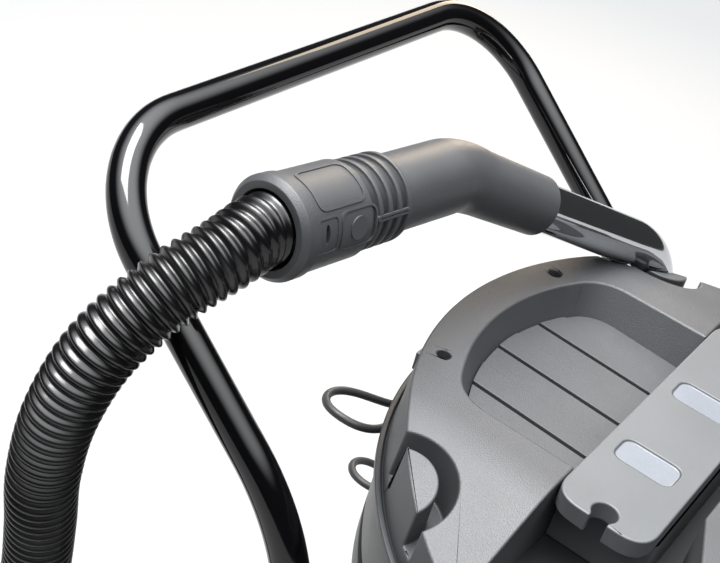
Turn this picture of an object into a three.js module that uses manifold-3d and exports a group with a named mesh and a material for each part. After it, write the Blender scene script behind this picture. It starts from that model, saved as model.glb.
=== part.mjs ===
// Wet and dry canister vacuum cleaner on a wheeled trolley.
// Millimetres, +Z up. The machine is built about the vertical axis of its tank,
// with +X to the machine's right and +Y towards the push handle.
import * as THREE from 'three';
import { mergeVertices } from 'three/addons/utils/BufferGeometryUtils.js';
import Module from 'manifold-3d';

const wasm = await Module();
wasm.setup();

// ---------------------------------------------------------------- driving dimensions
const GAP = 0.3;
const TOP_Z = 820;

// head
const HEAD_R = 263.3;
const HEAD_DRAFT = 3.7;
const DECK_Z = TOP_Z - 56;
const LIP_R = 272.5;
const LIP_T = 6;
const WALL = 4;
const BASE_R = 268;
const BASE_BOTTOM_Z = TOP_Z - 116;
const FACET_X = 139;
const FACET_SLOPE_DEG = 14.4;
const COVER_FRONT_Y = 116.5;

// tool tray in the rear cover
const TRAY_HALF_W = 108;
const TRAY_ARC_R = 200;
const TRAY_ARC_Y = 35.5;
const TRAY_CORNER_R = 34;
const TRAY_DEPTH = 27;
const TRAY_TAPER = 0.87;
const TRAY_FLOOR_T = 4;
const SLOT_PITCH = 51.5;
const SLOT_W = 2.6;

// hook grooves in the side facets
const GROOVE_X = 192.5;
const GROOVE_Y = 191.7;
const GROOVE_R = 37.3;
const ISLAND_R = 25.3;
const GROOVE_DEPTH = 32;

// flush bridge handle
const BRIDGE_HALF_L = 138;
const BRIDGE_W = 66;
const BRIDGE_T = 14;
const BRIDGE_CORNER_R = 15;
const KEYHOLE_R = 8.6;
const KEYHOLE_INSET = 9.7;
const POCKET_L = 42.3;
const POCKET_W = 25;
const POCKET_R = 6.3;
const POCKET_DEPTH = 1.5;

// front cover and switches
const FRONT_REAR_Y = 36;
const FRONT_HALF_W = 80;
const FRONT_R = 236;
const SLOPE_START_Y = -100;
const SLOPE_DEG = 16;
const SWITCH_L = 30;
const SWITCH_W = 20;
const SWITCH_PITCH = 46;
const SWITCH_COUNT = 2;

// tank
const TANK_R = 240;
const TANK_T = 2;
const TANK_BOTTOM_Z = 205;
const RING_TOP_Z = BASE_BOTTOM_Z - 3.7;
const RING_H = 32;
const RING_R = 268;
const INLET_AZ_DEG = 165;
const INLET_Z = 590;
const DUCT_R = 22;
const DUCT_T = 3;

// motors, filter cage and float
const MOTOR_R = 70;
const MOTOR_X = 92;
const CAGE_R = 88;
const FLOAT_R = 48;
const FLOAT_H = 60;
const FLOAT_TRAVEL = 45;
const CAGE_H = FLOAT_H + FLOAT_TRAVEL + 10 + GAP;

// trolley
const FRAME_Z = 180;
const FRAME_T = 20;
const FRAME_R = 247;
const WHEEL_R = 115;
const WHEEL_W = 36;
const RIM_R = 86;
const WHEEL_SEGMENTS = 32;
const AXLE_R = 10;
const AXLE_Y = 210;
const BRACKET_OUT_X = 253;
const CASTER_X = 165;
const CASTER_Y = -175;
const CASTER_R = 45;
const CASTER_W = 24;
const CASTER_TRAIL = 30;
const CASTER_POST_Z = 112;
const CASTER_SEGMENTS = 24;

// push handle
const TUBE_R = 12.5;
const LEG_X = 237.6;
const LEG_Y = AXLE_Y;
const LEG_BOTTOM_Z = 140;
const BAR_Y = 435;
const BAR_Z = 929;
const LEG_KNEE_Z = 751.7;
const KNEE_R = 157;
const CORNER_R = 81;

// wand, grip and hose
const WAND_R = 19;
const WAND_T = 1.8;
const WAND_LEG_GAP = 3.031;
const WAND_SIDE = new THREE.Vector2(-30.6, -16).normalize();
const WAND_OFF_LEG = TUBE_R + WAND_R + WAND_LEG_GAP;
const WAND_X = LEG_X + WAND_SIDE.x * WAND_OFF_LEG;
const WAND_Y = LEG_Y + WAND_SIDE.y * WAND_OFF_LEG;
const WAND_HEADING = new THREE.Vector2(-0.91, 0.415).normalize();
const WAND_RISE_DEG = 22;
const WAND_KNEE_Z = TOP_Z - 10;
const WAND_KNEE_R = 80;
const WAND_JOINT_Z = 500;
const WAND_BOTTOM_Z = 200;
const SOCKET_START = 161;
const GRIP_BEND = 247;
const SOCKET_R = WAND_R + 4;
const SOCKET_GRIP_L = 45;
const GRIP_R = SOCKET_R + 3.5;
const GRIP_AXIS = new THREE.Vector3(-0.992, 0.0958, 0.079).normalize();
const GRIP_L = 140;
const CUFF_START = 87;
const CUFF_BODY_START = 123;
const CUFF_END = 190;
const CUFF_R = GRIP_R + 5;
const COLLAR_R = CUFF_R + 1.3;
const HOSE_R = 22.5;
const HOSE_SOCKET_DEPTH = 21;

// latches
const LATCH_X = 281;
const LATCH_Z = TOP_Z - 136;
const LATCH_W = 40;
const LATCH_T = 4.5;
const LATCH_PIN_R = 3;

// power cord
const CORD_R = 3.25;
const CORD_X = 95;
const CORD_WALL_Y = Math.sqrt(BASE_R ** 2 - CORD_X ** 2);
const CORD_EXIT = new THREE.Vector3(CORD_X, CORD_WALL_Y + 22, TOP_Z - 100);
const COIL_R = 38;
const COIL_RING_R = 18;
const COIL_H = 28;

// ---------------------------------------------------------------- materials
const finish = (color, roughness, metalness = 0) =>
  new THREE.MeshStandardMaterial({ color, roughness, metalness });
const headPlastic = () => finish(0x56585a, 0.62);
const darkPlastic = () => finish(0x2a2c2e, 0.55);
const blackRubber = () => finish(0x17181a, 0.85);
const chromeSteel = () => finish(0xc8ccd0, 0.12, 1);
const brushedSteel = () => finish(0xa8abad, 0.32, 1);
const blackEnamel = () => finish(0x08090a, 0.12);
const zincSteel = () => finish(0x9fa3a8, 0.4, 1);
const hosePlastic = () => finish(0x111214, 0.25);
const motorCasting = () => finish(0x8d9094, 0.45, 0.8);
const filterCloth = () => finish(0xd9d4c6, 0.95);

// ---------------------------------------------------------------- solid helpers
const deg = THREE.MathUtils.degToRad;
const machine = new THREE.Group();

/** Turns a closed geometry into a solid that can be cut and joined. */
function solid(geometry) {
  const bare = geometry.clone();
  bare.deleteAttribute('normal');
  bare.deleteAttribute('uv');
  const merged = mergeVertices(bare, 1e-4);
  const vertProperties = new Float32Array(merged.attributes.position.array);
  const triVerts = new Uint32Array(merged.index.array);
  const made = new wasm.Manifold(new wasm.Mesh({ numProp: 3, vertProperties, triVerts }));
  return made;
}

/** Gives a cut solid back as a geometry. */
function geometryOf(body) {
  const mesh = body.getMesh();
  const points = [];
  for (let i = 0; i < mesh.numVert; i += 1) {
    const at = i * mesh.numProp;
    points.push(mesh.vertProperties[at], mesh.vertProperties[at + 1], mesh.vertProperties[at + 2]);
  }
  const geometry = new THREE.BufferGeometry();
  geometry.setAttribute('position', new THREE.Float32BufferAttribute(points, 3));
  geometry.setIndex(Array.from(mesh.triVerts));
  geometry.computeVertexNormals();
  return geometry;
}

/** Adds a named piece made of a geometry or a solid. */
function addPiece(name, shape, material) {
  const geometry = shape.isBufferGeometry ? shape : geometryOf(shape);
  const mesh = new THREE.Mesh(geometry, material);
  mesh.name = name;
  machine.add(mesh);
  return mesh;
}

const join = (...bodies) => bodies.reduce((whole, body) => whole.add(body));
const cut = (body, ...tools) => tools.reduce((whole, tool) => whole.subtract(tool), body);

/** A box from its low corner to its high corner. */
function block(x0, y0, z0, x1, y1, z1) {
  const geometry = new THREE.BoxGeometry(x1 - x0, y1 - y0, z1 - z0);
  geometry.translate((x0 + x1) / 2, (y0 + y1) / 2, (z0 + z1) / 2);
  return solid(geometry);
}

/** An upright cylinder or cone between two heights. */
function upright(radius, z0, z1, x = 0, y = 0, segments = 32, topRadius = radius) {
  const geometry = new THREE.CylinderGeometry(topRadius, radius, z1 - z0, segments);
  geometry.rotateX(Math.PI / 2);
  geometry.translate(x, y, (z0 + z1) / 2);
  return solid(geometry);
}

/** A cylinder along X between two places. */
function crosswise(radius, x0, x1, y, z, segments = 32, turn = 0) {
  const geometry = new THREE.CylinderGeometry(radius, radius, x1 - x0, segments);
  geometry.rotateY(turn);
  geometry.rotateZ(-Math.PI / 2);
  geometry.translate((x0 + x1) / 2, y, z);
  return solid(geometry);
}

/** A solid of revolution about the vertical axis; the outline closes on itself. */
function turned(outline, segments = 48) {
  const points = outline.map(([r, z]) => new THREE.Vector2(r, z));
  points.push(points[0].clone());
  const geometry = new THREE.LatheGeometry(points, segments);
  geometry.rotateX(Math.PI / 2);
  const body = solid(geometry);
  if (body.volume() > 0) {
    return body;
  }
  geometry.index.array.reverse();
  return solid(geometry);
}

/** A flat outline raised between two heights. */
function raised(shape, z0, z1, curveSegments = 12) {
  const options = { depth: z1 - z0, bevelEnabled: false, curveSegments };
  const geometry = new THREE.ExtrudeGeometry(shape, options);
  geometry.translate(0, 0, z0);
  return solid(geometry);
}

/** A round section, hollow if an inner radius is given, carried along a curve. */
function swept(curve, radius, steps, sides = 12, innerRadius = 0) {
  const section = new THREE.Shape();
  section.absarc(0, 0, radius, 0, 2 * Math.PI, false);
  if (innerRadius > 0) {
    const hole = new THREE.Path();
    hole.absarc(0, 0, innerRadius, 0, 2 * Math.PI, true);
    section.holes.push(hole);
  }
  const options = { steps, extrudePath: curve, curveSegments: sides, bevelEnabled: false };
  return solid(new THREE.ExtrudeGeometry(section, options));
}

/** A circular arc in space from a start to an end about a centre. */
class ArcCurve extends THREE.Curve {
  constructor(centre, start, end) {
    super();
    this.centre = centre;
    this.arm = start.clone().sub(centre);
    const other = end.clone().sub(centre);
    this.angle = this.arm.angleTo(other);
    this.axis = this.arm.clone().cross(other).normalize();
  }

  getPoint(t, target = new THREE.Vector3()) {
    target.copy(this.arm).applyAxisAngle(this.axis, this.angle * t);
    return target.add(this.centre);
  }
}

/** A path through corner points, each rounded to its own radius. */
function roundedRoute(corners, radii) {
  const route = new THREE.CurvePath();
  let from = corners[0];
  for (let i = 1; i < corners.length - 1; i += 1) {
    const back = corners[i - 1].clone().sub(corners[i]).normalize();
    const ahead = corners[i + 1].clone().sub(corners[i]).normalize();
    const halfAngle = back.angleTo(ahead) / 2;
    const reach = radii[i - 1] / Math.tan(halfAngle);
    const inward = back.clone().add(ahead).normalize();
    const centre = corners[i].clone().addScaledVector(inward, radii[i - 1] / Math.sin(halfAngle));
    const start = corners[i].clone().addScaledVector(back, reach);
    const end = corners[i].clone().addScaledVector(ahead, reach);
    route.add(new THREE.LineCurve3(from, start));
    route.add(new ArcCurve(centre, start, end));
    from = end;
  }
  route.add(new THREE.LineCurve3(from, corners[corners.length - 1]));
  return route;
}

/** Stands an upright solid, made about the Z axis, along a direction from a point. */
function along(body, point, direction) {
  const turn = new THREE.Quaternion();
  turn.setFromUnitVectors(new THREE.Vector3(0, 0, 1), direction.clone().normalize());
  const geometry = geometryOf(body);
  geometry.applyQuaternion(turn);
  geometry.translate(point.x, point.y, point.z);
  return solid(geometry);
}

/** The same solid turned about a line parallel to X through a point. */
function tilted(body, angle, y, z) {
  const geometry = geometryOf(body);
  geometry.translate(0, -y, -z);
  geometry.rotateX(angle);
  geometry.translate(0, y, z);
  return solid(geometry);
}

/** A copy turned about the machine's vertical axis. */
function spun(body, azimuth) {
  const geometry = geometryOf(body);
  geometry.rotateZ(azimuth);
  return solid(geometry);
}

/** The mirror image across the machine's middle plane. */
function mirrored(body) {
  return body.mirror([1, 0, 0]);
}

/** A rectangle with rounded corners. */
function roundedRect(x0, y0, x1, y1, r) {
  const shape = new THREE.Shape();
  shape.moveTo(x0 + r, y0);
  shape.lineTo(x1 - r, y0);
  shape.absarc(x1 - r, y0 + r, r, -Math.PI / 2, 0, false);
  shape.lineTo(x1, y1 - r);
  shape.absarc(x1 - r, y1 - r, r, 0, Math.PI / 2, false);
  shape.lineTo(x0 + r, y1);
  shape.absarc(x0 + r, y1 - r, r, Math.PI / 2, Math.PI, false);
  shape.lineTo(x0, y0 + r);
  shape.absarc(x0 + r, y0 + r, r, Math.PI, 1.5 * Math.PI, false);
  return shape;
}

const EPS = 1;
const sides = [
  ['left', -1],
  ['right', 1],
];

// ---------------------------------------------------------------- wand path
const wandRise = deg(WAND_RISE_DEG);
/** A point on the wand's straight upper run, by its level distance from the upright run. */
function wandPoint(distance) {
  const x = WAND_X + WAND_HEADING.x * distance;
  const y = WAND_Y + WAND_HEADING.y * distance;
  return new THREE.Vector3(x, y, WAND_KNEE_Z + Math.tan(wandRise) * distance);
}
const wandAxis = wandPoint(1).sub(wandPoint(0)).normalize();
const wandRun = SOCKET_START + SOCKET_GRIP_L;
const wandCorners = [
  wandPoint(wandRun),
  wandPoint(0),
  new THREE.Vector3(WAND_X, WAND_Y, WAND_JOINT_Z - 40),
];
const wandRoute = roundedRoute(wandCorners, [WAND_KNEE_R]);
const wandChannel = upright(WAND_R + 2, FRAME_Z, TOP_Z - 30, WAND_X, WAND_Y, 24);
const wandClearance = join(wandChannel, swept(wandRoute, WAND_R + 1.5, 18, 6));

// ---------------------------------------------------------------- trolley
const ringTop = FRAME_Z + FRAME_T;
const frameOutline = [
  [205, FRAME_Z],
  [FRAME_R, FRAME_Z],
  [FRAME_R, ringTop + 25],
  [TANK_R + GAP + 1, ringTop + 25],
  [TANK_R + GAP + 1, ringTop],
  [205, ringTop],
];
const frameParts = [turned(frameOutline, 48)];
for (const [, side] of sides) {
  const post = upright(21, CASTER_POST_Z, ringTop, side * CASTER_X, CASTER_Y, 24);
  const x0 = side > 0 ? 200 : -222 + GAP;
  const x1 = side > 0 ? 222 - GAP : -200;
  const beam = block(x0, 96, 150, x1, 232, ringTop - 6);
  frameParts.push(post, beam);
}
const crossBar = block(-212, -22, FRAME_Z, 212, 22, FRAME_Z + 8);
let frame = join(...frameParts, crossBar);
frame = frame.subtract(upright(TANK_R + GAP + 1, ringTop, ringTop + 60, 0, 0, 48));
for (const [, side] of sides) {
  const bore = upright(7 + GAP, CASTER_POST_Z - EPS, CASTER_POST_Z + 45, side * CASTER_X, CASTER_Y, 20);
  frame = frame.subtract(bore);
}
addPiece('trolley_frame', frame, darkPlastic());

const wheelZ = WHEEL_R * Math.cos(Math.PI / WHEEL_SEGMENTS);
const wheelTurn = Math.PI / WHEEL_SEGMENTS;
const wheelIn = BRACKET_OUT_X + 3;
const wheelOut = wheelIn + WHEEL_W;
const axle = crosswise(AXLE_R, -wheelOut - 6, wheelOut + 6, AXLE_Y, wheelZ, 24);
addPiece('rear_axle', axle, zincSteel());

for (const [name, side] of sides) {
  const flip = (body) => (side > 0 ? body : mirrored(body));
  const housing = block(222, 188, 93, BRACKET_OUT_X, 232, 190);
  const legSocket = upright(TUBE_R + GAP, LEG_BOTTOM_Z - GAP, 200, LEG_X, LEG_Y, 24);
  const axleBore = crosswise(AXLE_R + GAP, 210, 260, AXLE_Y, wheelZ, 24);
  addPiece(`axle_bracket_${name}`, flip(cut(housing, legSocket, axleBore)), darkPlastic());

  const tyreBody = crosswise(WHEEL_R, wheelIn, wheelOut, AXLE_Y, wheelZ, WHEEL_SEGMENTS, wheelTurn);
  const tyreBore = crosswise(
    RIM_R + GAP,
    wheelIn - EPS,
    wheelOut + EPS,
    AXLE_Y,
    wheelZ,
    WHEEL_SEGMENTS,
    wheelTurn,
  );
  addPiece(`rear_tyre_${name}`, flip(cut(tyreBody, tyreBore)), blackRubber());

  const rim = crosswise(RIM_R, wheelIn + 2, wheelOut - 2, AXLE_Y, wheelZ, WHEEL_SEGMENTS, wheelTurn);
  const dish = crosswise(RIM_R - 8, wheelOut - 14, wheelOut, AXLE_Y, wheelZ, WHEEL_SEGMENTS, wheelTurn);
  const boss = crosswise(24, wheelIn, wheelOut - 2, AXLE_Y, wheelZ, 20);
  let hub = join(cut(rim, dish), boss);
  for (let i = 0; i < 5; i += 1) {
    const around = (i / 5) * 2 * Math.PI;
    const y = AXLE_Y + 50 * Math.cos(around);
    const z = wheelZ + 50 * Math.sin(around);
    hub = hub.subtract(crosswise(15, wheelIn - EPS, wheelOut + EPS, y, z, 8));
  }
  hub = hub.subtract(crosswise(AXLE_R + GAP, wheelIn - EPS, wheelOut + EPS, AXLE_Y, wheelZ, 24));
  addPiece(`rear_hub_${name}`, flip(hub), darkPlastic());

  const capX = wheelOut + 1;
  const cap = cut(
    crosswise(18, capX - 2.4, capX + 8, AXLE_Y, wheelZ, 24),
    crosswise(AXLE_R + GAP, capX - 4, capX + 5 + GAP, AXLE_Y, wheelZ, 24),
  );
  addPiece(`axle_cap_${name}`, flip(cap), darkPlastic());
}

const casterZ = CASTER_R * Math.cos(Math.PI / CASTER_SEGMENTS);
const casterTurn = Math.PI / CASTER_SEGMENTS;
for (const [name, side] of sides) {
  const cx = side * CASTER_X;
  const wy = CASTER_Y + CASTER_TRAIL;
  const half = CASTER_W / 2;
  const pinX = half + 8;
  const topPlate = upright(24, CASTER_POST_Z - GAP - 6, CASTER_POST_Z - GAP, cx, CASTER_Y, 20);
  const stem = upright(7, CASTER_POST_Z - 3, CASTER_POST_Z + 42, cx, CASTER_Y, 12);
  const bridge = block(
    cx - pinX,
    CASTER_Y - 14,
    CASTER_POST_Z - 12,
    cx + pinX,
    wy + 12,
    CASTER_POST_Z - 5,
  );
  let fork = join(topPlate, stem, bridge);
  for (const cheek of [-1, 1]) {
    const cheekIn = cx + cheek * (half + 2);
    const cheekOut = cx + cheek * pinX;
    const x0 = Math.min(cheekIn, cheekOut);
    const x1 = Math.max(cheekIn, cheekOut);
    const plate = block(x0, wy - 13, casterZ, x1, wy + 12, CASTER_POST_Z - 6);
    const round = crosswise(13, x0, x1, wy, casterZ, 16);
    fork = join(fork, plate, round);
  }
  fork = fork.subtract(crosswise(5 + GAP, cx - 60, cx + 60, wy, casterZ, 20));
  addPiece(`caster_fork_${name}`, fork, zincSteel());

  const axlePin = join(
    crosswise(5, cx - pinX - 2, cx + pinX + 2, wy, casterZ, 20),
    crosswise(8, cx + pinX + GAP, cx + pinX + 4, wy, casterZ, 6),
  );
  addPiece(`caster_axle_${name}`, axlePin, zincSteel());

  const tread = crosswise(CASTER_R, cx - half, cx + half, wy, casterZ, CASTER_SEGMENTS, casterTurn);
  const recessA = crosswise(30, cx + half - 6, cx + half + EPS, wy, casterZ, CASTER_SEGMENTS);
  const recessB = crosswise(30, cx - half - EPS, cx - half + 6, wy, casterZ, CASTER_SEGMENTS);
  const bossC = crosswise(11, cx - half - 1, cx + half + 1, wy, casterZ, 20);
  const boreC = crosswise(5 + GAP, cx - 40, cx + 40, wy, casterZ, 20);
  addPiece(
    `caster_wheel_${name}`,
    cut(join(cut(tread, recessA, recessB), bossC), boreC),
    darkPlastic(),
  );
}

// ---------------------------------------------------------------- push handle
const handleCorners = [
  new THREE.Vector3(-LEG_X, LEG_Y, LEG_BOTTOM_Z),
  new THREE.Vector3(-LEG_X, LEG_Y, LEG_KNEE_Z),
  new THREE.Vector3(-LEG_X, BAR_Y, BAR_Z),
  new THREE.Vector3(LEG_X, BAR_Y, BAR_Z),
  new THREE.Vector3(LEG_X, LEG_Y, LEG_KNEE_Z),
  new THREE.Vector3(LEG_X, LEG_Y, LEG_BOTTOM_Z),
];
const handleRoute = roundedRoute(handleCorners, [KNEE_R, CORNER_R, CORNER_R, KNEE_R]);
addPiece('push_handle', swept(handleRoute, TUBE_R, 52, 5), blackEnamel());

// ---------------------------------------------------------------- tank
const tankTop = RING_TOP_Z - 2;
const tankOutline = [
  [0, TANK_BOTTOM_Z],
  [TANK_R - 1.5, TANK_BOTTOM_Z],
  [TANK_R, TANK_BOTTOM_Z + 1.5],
  [TANK_R, tankTop],
  [TANK_R - TANK_T, tankTop],
  [TANK_R - TANK_T, TANK_BOTTOM_Z + TANK_T],
  [0, TANK_BOTTOM_Z + TANK_T],
];
const inletAz = deg(INLET_AZ_DEG);
const inletOut = new THREE.Vector3(Math.cos(inletAz), Math.sin(inletAz), 0);
const inletHole = along(
  upright(DUCT_R + GAP + 0.6, TANK_R - 20, TANK_R + 20, 0, 0, 32),
  new THREE.Vector3(0, 0, INLET_Z),
  inletOut,
);
addPiece('tank', cut(turned(tankOutline, 48), inletHole), brushedSteel());

const ringBottom = RING_TOP_Z - RING_H;
const ringOutline = [
  [TANK_R + GAP, ringBottom + 6],
  [RING_R - 6, ringBottom],
  [RING_R, ringBottom + 6],
  [RING_R, RING_TOP_Z - 5],
  [RING_R - 5, RING_TOP_Z],
  [TANK_R - TANK_T - 4, RING_TOP_Z],
  [TANK_R - TANK_T - 4, tankTop + GAP],
  [TANK_R + GAP, tankTop + GAP],
];
addPiece('tank_ring', cut(turned(ringOutline), wandClearance), darkPlastic());

const gasketOutline = [
  [TANK_R - 2, RING_TOP_Z + GAP],
  [TANK_R + 14, RING_TOP_Z + GAP],
  [TANK_R + 14, BASE_BOTTOM_Z - GAP],
  [TANK_R - 2, BASE_BOTTOM_Z - GAP],
];
addPiece('head_gasket', turned(gasketOutline, 48), blackRubber());

// hose inlet: flange on the tank wall and a duct that turns downwards
const inletStart = inletOut.clone().multiplyScalar(TANK_R - 6).setZ(INLET_Z);
const inletCorner = inletOut.clone().multiplyScalar(TANK_R + 105).setZ(INLET_Z);
const inletEnd = inletCorner.clone().setZ(INLET_Z - 85);
const ductRoute = roundedRoute([inletStart, inletCorner, inletEnd], [46]);
const flangeDisc = along(
  upright(DUCT_R + 20, TANK_R - 16, TANK_R + 8, 0, 0, 32),
  new THREE.Vector3(0, 0, INLET_Z),
  inletOut,
);
const flangeBore = along(
  upright(DUCT_R - 1, TANK_R - 40, TANK_R + 40, 0, 0, 32),
  new THREE.Vector3(0, 0, INLET_Z),
  inletOut,
);
const flange = cut(
  flangeDisc,
  flangeBore,
  upright(TANK_R + GAP, INLET_Z - 190, INLET_Z + 110, 0, 0, 72),
);
const duct = swept(ductRoute, DUCT_R, 10, 6, DUCT_R - DUCT_T);
addPiece('hose_inlet', join(duct, flange), darkPlastic());

// side latches that hook over the lip of the head
const lipTop = DECK_Z + 2;
for (const [name, side] of sides) {
  const flip = (body) => (side > 0 ? body : mirrored(body));
  const halfW = LATCH_W / 2;
  const pinHole = (r) => {
    const geometry = new THREE.CylinderGeometry(r, r, LATCH_W + 24, 16);
    geometry.translate(LATCH_X, 0, LATCH_Z);
    return solid(geometry);
  };
  const plate = block(LIP_R + 2, -halfW, LATCH_Z - 4, LIP_R + 2 + LATCH_T, halfW, lipTop + GAP + 4);
  const hook = block(LIP_R - 6, -halfW, lipTop + GAP, LIP_R + 4, halfW, lipTop + GAP + 4);
  const barrelGeometry = new THREE.CylinderGeometry(7, 7, LATCH_W, 20);
  barrelGeometry.translate(LATCH_X, 0, LATCH_Z);
  const tab = block(LIP_R + 4, -12, lipTop - 8, LIP_R + 2 + LATCH_T + 9, 12, lipTop - 4);
  const lever = join(plate, hook, solid(barrelGeometry), tab);
  addPiece(`latch_lever_${name}`, flip(lever.subtract(pinHole(LATCH_PIN_R + GAP))), darkPlastic());

  let ears = null;
  for (const end of [-1, 1]) {
    const y0 = end > 0 ? halfW + GAP : -halfW - 6;
    const ear = block(RING_R - 4, y0, LATCH_Z - 8, LATCH_X + 6, y0 + 6 - GAP, LATCH_Z + 8);
    ears = ears ? join(ears, ear) : ear;
  }
  const backPlate = block(RING_R - 8, -halfW - 6, LATCH_Z - 16, RING_R + 4, halfW + 6, LATCH_Z - 8);
  const bracket = cut(
    join(ears, backPlate),
    upright(RING_R + GAP, LATCH_Z - 84, LATCH_Z + 36, 0, 0, 72),
    pinHole(LATCH_PIN_R + GAP),
  );
  addPiece(`latch_bracket_${name}`, flip(bracket), zincSteel());

  const pinGeometry = new THREE.CylinderGeometry(LATCH_PIN_R, LATCH_PIN_R, LATCH_W + 14, 16);
  pinGeometry.translate(LATCH_X, 0, LATCH_Z);
  addPiece(`latch_pin_${name}`, flip(solid(pinGeometry)), zincSteel());
}

// ---------------------------------------------------------------- head base
const headBaseOutline = [
  [0, DECK_Z - WALL],
  [BASE_R - 8, DECK_Z - WALL],
  [BASE_R - 8, BASE_BOTTOM_Z],
  [BASE_R - 2, BASE_BOTTOM_Z],
  [BASE_R, BASE_BOTTOM_Z + 3],
  [BASE_R, DECK_Z - 12],
  [BASE_R - 3, DECK_Z - 8],
  [LIP_R, lipTop - LIP_T],
  [LIP_R, lipTop],
  [BASE_R + 0.6, lipTop],
  [BASE_R, DECK_Z],
  [0, DECK_Z],
];
const cordBore = along(
  upright(7 + GAP, CORD_WALL_Y - 30, CORD_WALL_Y + 20, 0, 0, 20),
  new THREE.Vector3(CORD_EXIT.x, 0, CORD_EXIT.z),
  new THREE.Vector3(0, 1, 0),
);
let headBase = cut(turned(headBaseOutline), wandClearance, cordBore);
for (const side of [-1, 1]) {
  headBase = headBase.subtract(upright(16, DECK_Z - 10, DECK_Z + 5, side * MOTOR_X, 0, 24));
}
addPiece('head_base', headBase, headPlastic());

let motorPlate = upright(BASE_R - 12, BASE_BOTTOM_Z + 1, BASE_BOTTOM_Z + 6, 0, 0, 48);
for (const side of [-1, 1]) {
  motorPlate = motorPlate.subtract(upright(
    MOTOR_R - 8,
    BASE_BOTTOM_Z - EPS,
    BASE_BOTTOM_Z + 10,
    side * MOTOR_X,
    0,
    28,
  ));
}
addPiece('motor_plate', motorPlate, darkPlastic());

const motorTop = DECK_Z - WALL - 2;
for (const [name, side] of sides) {
  const fan = upright(MOTOR_R - 10, BASE_BOTTOM_Z - 60, BASE_BOTTOM_Z + 6 + GAP, side * MOTOR_X, 0, 28);
  const can = upright(MOTOR_R - 16, BASE_BOTTOM_Z + 6 + GAP, motorTop, side * MOTOR_X, 0, 28);
  const shoulder = upright(MOTOR_R, BASE_BOTTOM_Z + 6 + GAP, BASE_BOTTOM_Z + 16, side * MOTOR_X, 0, 28);
  addPiece(`motor_${name}`, join(fan, can, shoulder), motorCasting());
}

// filter cage and float under the motors
const cageTop = BASE_BOTTOM_Z - 60 - GAP;
const cageOutline = [
  [CAGE_R - 4, cageTop - CAGE_H],
  [CAGE_R, cageTop - CAGE_H],
  [CAGE_R, cageTop],
  [20, cageTop],
  [20, cageTop - 4],
  [CAGE_R - 4, cageTop - 4],
];
let cage = turned(cageOutline, 24);
for (let i = 0; i < 8; i += 1) {
  const window = block(CAGE_R - 12, -20, cageTop - CAGE_H + 18, CAGE_R + 12, 20, cageTop - 18);
  cage = cage.subtract(spun(window, (i / 8) * 2 * Math.PI));
}
addPiece('float_cage', cage, darkPlastic());

const floatBottom = cageTop - CAGE_H + 6;
const floatOutline = [
  [0, floatBottom],
  [FLOAT_R - 8, floatBottom],
  [FLOAT_R, floatBottom + 8],
  [FLOAT_R, floatBottom + FLOAT_H - 12],
  [24, floatBottom + FLOAT_H],
  [0, floatBottom + FLOAT_H],
];
addPiece('float', turned(floatOutline, 28), filterCloth());

const floatRestOutline = [
  [0, floatBottom - 6],
  [CAGE_R - 6, floatBottom - 6],
  [CAGE_R - 6, floatBottom - GAP],
  [0, floatBottom - GAP],
];
addPiece('float_rest', turned(floatRestOutline, 28), darkPlastic());

// ---------------------------------------------------------------- rear cover with the tool tray
/** The tray's D outline shrunk about its own middle by a factor. */
function trayShape(scale, grow = 0) {
  const half = TRAY_HALF_W * scale + grow;
  const arcR = TRAY_ARC_R * scale + grow;
  const arcY = COVER_FRONT_Y + (TRAY_ARC_Y - COVER_FRONT_Y) * scale + (1 - scale) * 44;
  const corner = TRAY_CORNER_R * scale;
  const cornerX = half - corner;
  const cornerY = arcY + Math.sqrt((arcR - corner) ** 2 - cornerX ** 2);
  const tilt = Math.atan2(cornerY - arcY, cornerX);
  const shape = new THREE.Shape();
  shape.moveTo(-half, COVER_FRONT_Y - 20);
  shape.lineTo(half, COVER_FRONT_Y - 20);
  shape.lineTo(half, cornerY);
  shape.absarc(cornerX, cornerY, corner, 0, tilt, false);
  shape.absarc(0, arcY, arcR, tilt, Math.PI - tilt, false);
  shape.absarc(-cornerX, cornerY, corner, Math.PI - tilt, Math.PI, false);
  return shape;
}

/** The tray's drafted hollow, as a loft between its rim and its floor outline. */
function trayHollow(depth, grow = 0) {
  const rim = trayShape(1, grow).getPoints(7);
  const floor = trayShape(TRAY_TAPER, grow).getPoints(7);
  const count = rim.length;
  const points = [];
  for (const p of rim) {
    points.push(p.x, p.y, TOP_Z + EPS);
  }
  for (const p of floor) {
    points.push(p.x, p.y, TOP_Z - depth);
  }
  const faces = [];
  for (let i = 0; i < count; i += 1) {
    const j = (i + 1) % count;
    faces.push(i, i + count, j, j, i + count, j + count);
  }
  const lid = THREE.ShapeUtils.triangulateShape(rim, []);
  for (const [a, b, c] of lid) {
    faces.push(a, b, c, a + count, c + count, b + count);
  }
  const geometry = new THREE.BufferGeometry();
  geometry.setAttribute('position', new THREE.Float32BufferAttribute(points, 3));
  geometry.setIndex(faces);
  return solid(geometry);
}

/** The wedge that planes a side facet off the top. */
function facetCutter(drop) {
  const wedge = block(0, -400, -drop, 400, 400, 200 - drop);
  const geometry = geometryOf(wedge);
  geometry.rotateY(deg(FACET_SLOPE_DEG));
  geometry.translate(FACET_X, 0, TOP_Z);
  return solid(geometry);
}

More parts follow.
